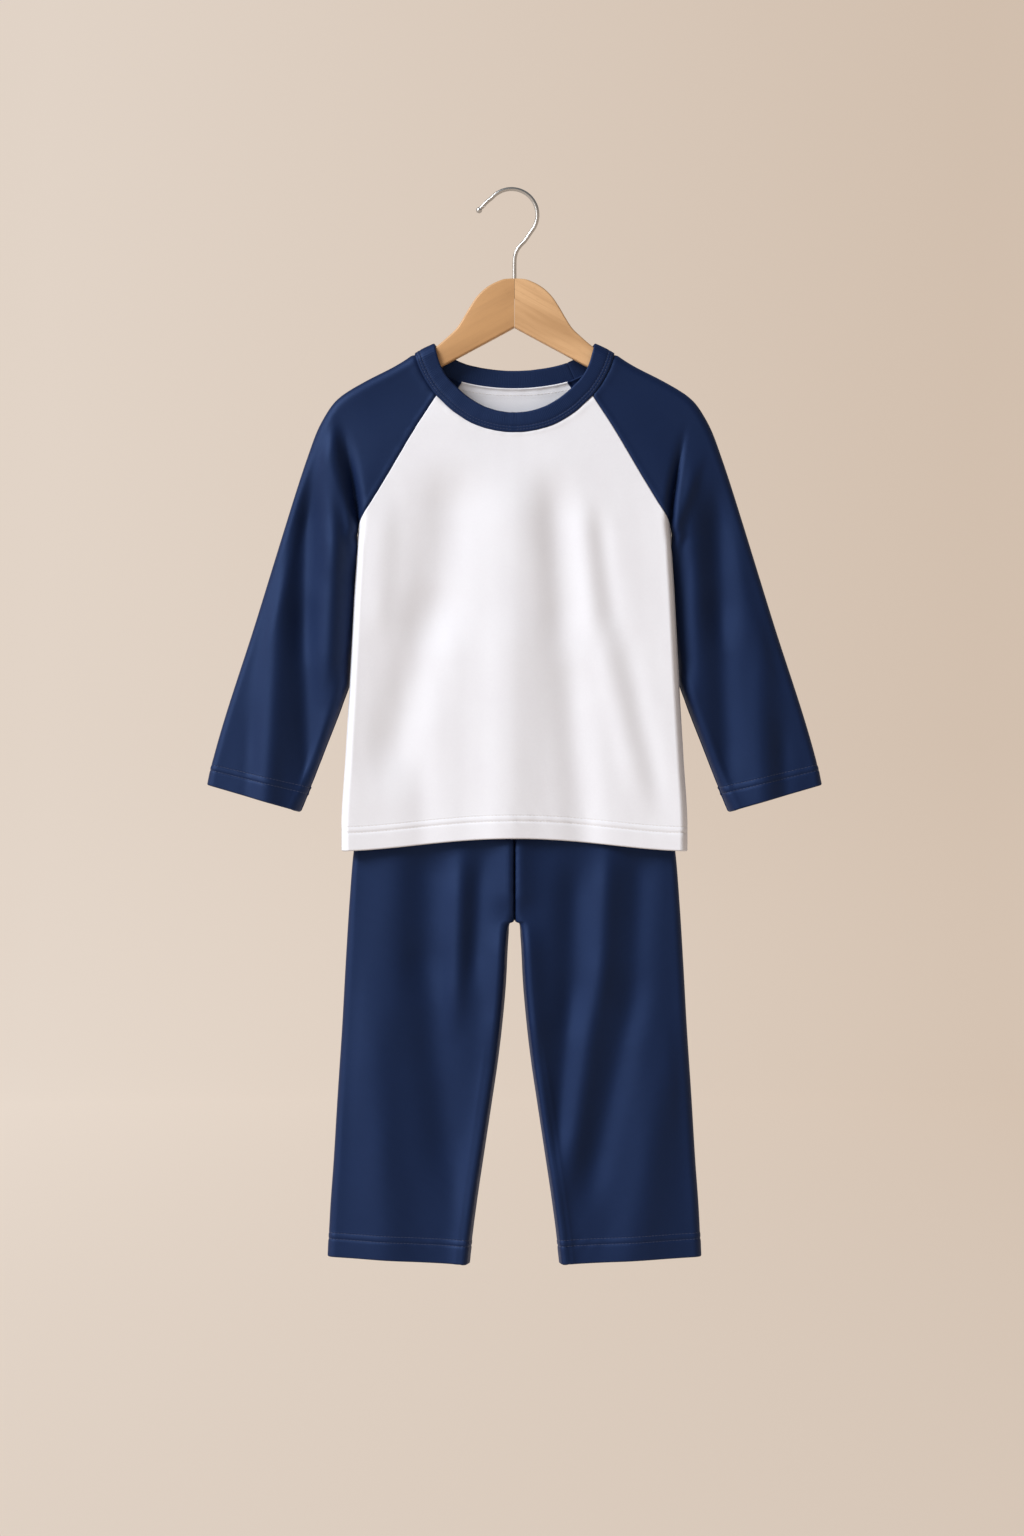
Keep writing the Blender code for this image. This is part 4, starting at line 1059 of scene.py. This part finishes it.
# Ribs run across the band, and their count makes the last meet the first
ribs = round(run[-1] / RIB_PITCH)
rib = RIB_RISE * np.cos(2 * math.pi * ribs * at / run[-1]) + 0 * x
joined = np.argmin(np.hypot(x[8] - BAND_JOIN[0], drop[8] - BAND_JOIN[1]) + 100 * (face[8] < 0))
join_groove = 0.45 * bell(at - at[joined], 0.7)
relief = rib * (1 - 0.5 * bell(offset, 3.0)) - join_groove - 0.4 * bell(offset, 0.9)
relief = relief + 0.2 * bell((share - 0.55), 0.3) + 0.1 * uneven(at + 0 * x, at * 0, 91, 21.0, 8.0)
for row in BAND_ROWS:
    relief = relief - 0.42 * bell(offset - row, 0.75)
outer = middle + normal * (RIB / 2 + relief)[..., None]
inner = middle - normal * (RIB / 2 + rib - join_groove)[..., None]
band = shell("neckband_rib", outer, inner, np.stack((at + 0 * x, offset), -1), rim=5, ring=True)
band.data.materials.append(navy_rib)
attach(band, "root")
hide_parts("neckband")
closed = [np.append(np.arange(BAND_STATIONS), 0)] * 2
lines = [(outer[np.argmin(np.abs(near - row))][ring], normal[np.argmin(np.abs(near - row))][ring])
         for row, ring in zip(BAND_ROWS, closed)]
band_stitches = stitches("neckband_stitches", lines, navy_thread, pitch=2.9,
                         length=2.2, radius=0.2)


# Trousers
# Each leg is one panel of the same navy jersey with no side seam. The two are joined by the crotch
# seam at the middle, and each is closed by its inseam and hemmed like the sleeves. They hang
# inside the top from their waistband.
WAIST = 459.0
WAISTBAND_LOW = 484.0
TROUSER_HEM = 966.0
WAIST_SET_BACK = 2.9
LEG_ROLL = 6.5
INSEAM_ROLL = 4.5
INSEAM_IN = 8.0
INSEAM_RUN = (755.0, 40.0)
LEG_HEM_SLANT = 6.5
LEG_SLANT_START = 700.0
CROTCH_START = {FRONT: 646.0, BACK: 648.0}
CROTCH_END = 660.0
CROTCH_MARKS = (658.4, 660.8, 663.2)
LEG_FULL_WITHIN = 50.0
LEG_CREASED_WITHIN = 20.0
CENTRE_WITHIN = 4.0
HIPS_RUN = (WAIST, 140.0)
LEG_DEPTH = table(
    "drop depth roll", (WAIST, 6.5, 6), (560, 8, 4.6), (594, 8.6, 4.6),
    (640, 10.6, 5.6), (700, 12, LEG_ROLL), (TROUSER_HEM, 11.5, LEG_ROLL))
LEG_OUTER = table(
    "drop side", (WAIST, 112), (484, 114), (520, 125), (560, 137), (594, 144),
    (639, 147.8), (695, 151.3), (751, 154.4), (818, 158.8), (874, 162.2),
    (919, 165.4), (TROUSER_HEM, 167.6))
LEG_INNER = table(
    "drop side", (WAIST, 0), (658, 0), (658.5, 2.2), (660, 3.9), (663, 5),
    (670.5, 5.9), (684, 6.8), (711, 8.1), (747, 11.2), (783, 15.4), (819, 20.7),
    (864, 27.5), (909, 34.2), (945, 38.9), (TROUSER_HEM, 41.2))
LEG_FOLDS = {
    FRONT: table(
        FOLD, (-77, 585, -80, 720, 21, -7), (-80, 690, -56, 900, 19, -6),
        (-49, 600, -54, 750, 9, 4.4), (-29, 595, -37, 715, 10, -3.5),
        (0, 575, 0, 650, 15, 5.4), (-8, 660, -17, 775, 12, 5.6), (-17, 760, -50, 1000, 11, 4),
        (-134, 720, -108, 1000, 20, 4.2), (-36, 850, -48, 1000, 9, 2),
        (8, 660, 17, 775, 13, 6.4), (17, 760, 46, 1000, 10, 4.4),
        (56, 600, 50, 750, 15, -5.8), (50, 720, 38, 870, 12, -4),
        (84, 595, 76, 730, 10, 4), (76, 700, 45, 900, 11, 4.2),
        (112, 585, 106, 750, 15, -6.2), (106, 720, 66, 910, 15, -5.6),
        (143, 760, 98, 990, 18, 3.6)),
    BACK: table(
        FOLD, (-98, 600, -90, 830, 15, -4.6), (-120, 700, -126, 900, 12, 2.6),
        (100, 600, 88, 830, 15, -4.6), (60, 680, 66, 880, 12, 2.6))}


def waist_centre(drop):
    """The waist is tacked to the inside of the top's back, and the legs hang to the middle."""
    return WAIST_SET_BACK * (1.0 - eased(drop, HIPS_RUN))


def leg_cloth(x, drop, face):
    """The trousers' front or back: half of the hips and one leg on each side of the middle."""
    def roll_at(at_drop):
        return read(LEG_DEPTH, "roll", at_drop)

    def level(at_x, at_drop):
        side = np.abs(at_x)
        inside = side - read(LEG_INNER, "side", at_drop)
        gap = read(LEG_OUTER, "side", at_drop) - side
        full, roll = read(LEG_DEPTH, "depth", at_drop), roll_at(at_drop)
        depth = roll + (full - roll) * ease(gap / LEG_FULL_WITHIN)
        swell = (creases(at_x, at_drop, LEG_FOLDS[face]) * ease(gap / LEG_CREASED_WITHIN)
                 * ease(inside / CENTRE_WITHIN))
        swell = swell + UNEVEN * uneven(at_x, at_drop, 17 + face) * ease(gap / WAVY_WITHIN)
        parted = ease((at_drop - CROTCH_START[face]) / (CROTCH_END - CROTCH_START[face]))
        return (depth + swell) * (1.0 - parted * np.clip(1.0 - inside / INSEAM_ROLL, 0, 1) ** 2)

    gap = read(LEG_OUTER, "side", drop) - np.abs(x)
    out = np.stack((np.where(x < 0, -1.0, 1.0), np.zeros_like(x), np.zeros_like(x)), -1)
    return cloth(x, drop, face, level, np.maximum(gap, 0.0), roll_at(drop), out,
                 waist_centre(drop))


def leg_flat(drops, count):
    """Places of one leg's front or back half, from the crotch seam or inseam to the fold."""
    rows = []
    for drop in drops:
        start = np.array((read(LEG_INNER, "side", drop), drop))
        slant = LEG_HEM_SLANT * eased(drop, (LEG_SLANT_START, TROUSER_HEM - LEG_SLANT_START))
        end = np.array((read(LEG_OUTER, "side", drop - slant), drop - slant))
        t = across_half(math.dist(start, end), read(LEG_DEPTH, "roll", drop), count)
        rows.append(bend(start, (start + end) / 2, end, t))
    return np.array(rows)


def leg_panel(name, hand, seed):
    drops = rows_to_hem(WAISTBAND_LOW + GAP, TROUSER_HEM, CROTCH_MARKS)
    flat = leg_flat(drops, 50)
    side, drop = flat[..., 0], flat[..., 1]
    from_hem = TROUSER_HEM - drops[:, None] + 0 * side
    from_seam = np.hypot(*np.moveaxis(flat - flat[:, :1], -1, 0))
    halves = {}
    for face in (FRONT, BACK):
        middle, normal = leg_cloth(hand * side, drop, face)
        relief = 1.8 * seam_relief(from_seam, drop, seed) * (
            1 - 0.9 * ease((drop - CROTCH_END + 8) / 20))
        relief = relief + hem_relief(from_hem, from_seam * face, seed + 1)
        if face == FRONT:
            relief = relief + turned_seam(from_seam, INSEAM_IN) * eased(drop, INSEAM_RUN)
        skins = wall(middle, normal, relief, from_hem, from_seam)
        keep_apart(skins, face, waist_centre(drop))
        for skin in skins:
            skin[..., 0] = hand * np.maximum(hand * skin[..., 0], GAP / 2)
        halves[face] = (*skins, normal, -drop)
    return (*tube(name, halves), drops)


for word, hand, seed in (("left", -1, 110), ("right", 1, 130)):
    leg, outer, normal, drops = leg_panel(word + "_trouser_leg", hand, seed)
    leg.data.materials.append(navy_jersey)
    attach(leg, "root")
    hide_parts("leg_" + word)
    leg_hem = stitches(word + "_leg_stitches", hem_lines(outer, normal, drops, TROUSER_HEM),
                       navy_thread)


# Waistband
# The waistband is a casing of the same jersey turned over a flat elastic, which gathers it into
# small even puckers. It is out of sight under the top.
GATHER_PITCH = 5.0
GATHER_RISE = 0.35
drops = np.linspace(WAIST, WAISTBAND_LOW, 14)
flat = leg_flat(drops, 90)
sides = {}
for face in (FRONT, BACK):
    for hand in (-1, 1):
        middle, normal = leg_cloth(hand * flat[..., 0], flat[..., 1], face)
        puckers = GATHER_RISE * np.sin(2 * math.pi * flat[..., 0] / GATHER_PITCH
                                       + uneven(flat[..., 0], flat[..., 1] * 0.3, 151))
        puckers = puckers * ease((read(LEG_OUTER, "side", flat[..., 1]) - flat[..., 0])
                                 / 8.0)
        skins = [middle + normal * (RIB / 2 + puckers)[..., None], middle - normal * RIB / 2]
        for skin in skins:
            skin[..., 0] = hand * np.maximum(hand * skin[..., 0], GAP / 2)
        sides[face, hand] = skins
outer, inner = (np.concatenate((sides[FRONT, 1][k], sides[BACK, 1][k][:, -2::-1],
                                sides[BACK, -1][k], sides[FRONT, -1][k][:, -2::-1]), 1)
                for k in (0, 1))
round_it = run_across(outer)
waist = shell("waist_casing", outer, inner,
              np.stack((round_it, -drops[:, None] + 0 * round_it), -1), rim=5, ring=True)
waist.data.materials.append(navy_jersey)
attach(waist, "root")
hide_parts("waistband")


# Floor, light and camera
# A seamless floor curves up into a round wall, open above. Its own colour is a dark grey; it looks
# pale because it glows, a painted light that is brighter at the left than at the right, as if lit
# from the left. A broad soft light stands high at the front left with a weaker one beside it, and
# the camera looks straight at the front.
FLOOR_DROP = 1.45
FLOOR_RADIUS = 8.0
COVE_STEPS = 8
WALL_RISE = 3.0
FLOOR_BASE = (0.10, 0.09, 0.08)
# Painted light: the floor's glow at its left and at its right, blended across the reach in metres
# either side of the middle
GLOW_LEFT = (0.655, 0.567, 0.492)
GLOW_RIGHT = (0.515, 0.41, 0.325)
GLOW_REACH = 1.4
DAYLIGHT = (0.97, 0.985, 1.0)
KEY_ENERGY = 3.45
WINDOW_ENERGY = 8.0
# Where each light stands, and the direction in which it shines
KEY_RAY = ((-2.0, -2.0, 2.0), (0.68, 0.46, -0.57))
WINDOW_RAY = ((-1.75, -1.15, 0.05), (1.75, 1.15, -0.5))
ROOM_COLOUR = (0.93, 0.97, 1.0)
ROOM_ENERGY = 0.2
# In metres, like the view's height and the plane that it is measured in
CAMERA_FROM = (-0.00225, -3.8, -0.5202)
VIEW_HEIGHT = 1.3824
VIEW_PLANE = -0.008
bpy.ops.object.select_all(action="DESELECT")
bpy.ops.mesh.primitive_circle_add(vertices=96, radius=FLOOR_RADIUS, fill_type="NGON",
                                  location=(0.0, 0.0, -FLOOR_DROP))
floor = bpy.context.active_object
floor.name = "seamless_floor"
to_bottom([floor])
bpy.ops.object.mode_set(mode="EDIT")
bpy.ops.mesh.select_all(action="SELECT")
for turn in range(1, COVE_STEPS + 1):
    angle = math.radians(90.0 * turn / COVE_STEPS)
    before = math.radians(90.0 * (turn - 1) / COVE_STEPS)
    bpy.ops.mesh.extrude_region_move(
        TRANSFORM_OT_translate={"value": (0.0, 0.0, math.cos(before) - math.cos(angle))})
    grow = (FLOOR_RADIUS + math.sin(angle)) / (FLOOR_RADIUS + math.sin(before))
    bpy.ops.transform.resize(value=(grow, grow, 1.0), center_override=(0.0, 0.0, 0.0))
bpy.ops.mesh.extrude_region_move(TRANSFORM_OT_translate={"value": (0.0, 0.0, WALL_RISE)})
bpy.ops.mesh.delete(type="FACE")
bpy.ops.object.mode_set(mode="OBJECT")
bpy.ops.object.shade_smooth()
# The floor's colour is mostly painted light: it glows, brighter at the left than at the right.
floor_glow = Finish("pale_floor_painted_glow", Roughness=0.9, Base_Color=(*FLOOR_BASE, 1.0),
               Emission_Strength=1.0)
side = floor_glow.node("SeparateXYZ", {}, {0: floor_glow.place()}, 0)
side = floor_glow.node("MapRange", {}, {0: side, 1: -GLOW_REACH, 2: GLOW_REACH})
floor_glow.feed(floor_glow.shader.inputs["Emission Color"],
           floor_glow.blend(side, (*GLOW_LEFT, 1.0), (*GLOW_RIGHT, 1.0)))
floor.data.materials.append(floor_glow.material)

key = bpy.data.lights.new("key", "SUN")
key.energy = KEY_ENERGY
key.angle = math.radians(24.0)
window = bpy.data.lights.new("window", "AREA")
window.shape = "DISK"
window.size = 0.9
window.energy = WINDOW_ENERGY
for data, (where, towards) in ((key, KEY_RAY), (window, WINDOW_RAY)):
    data.color = DAYLIGHT
    light = bpy.data.objects.new(data.name, data)
    light.location = where
    light.rotation_euler = Vector(towards).to_track_quat("-Z", "Y").to_euler()
    light.visible_camera = False
    bpy.context.scene.collection.objects.link(light)

world = bpy.data.worlds.new("soft_room")
world.use_nodes = True
world.node_tree.nodes["Background"].inputs["Color"].default_value = (*ROOM_COLOUR, 1.0)
world.node_tree.nodes["Background"].inputs["Strength"].default_value = ROOM_ENERGY
bpy.context.scene.world = world

lens = bpy.data.cameras.new("front_camera")
lens.sensor_fit = "VERTICAL"
lens.sensor_height = 36.0
lens.lens = lens.sensor_height * (VIEW_PLANE - CAMERA_FROM[1]) / VIEW_HEIGHT
camera = bpy.data.objects.new("front_camera", lens)
camera.location = CAMERA_FROM
camera.rotation_euler = (math.pi / 2, 0.0, 0.0)
bpy.context.scene.collection.objects.link(camera)
bpy.context.scene.camera = camera
bpy.context.scene.view_settings.view_transform = "Standard"

bpy.context.view_layer.update()
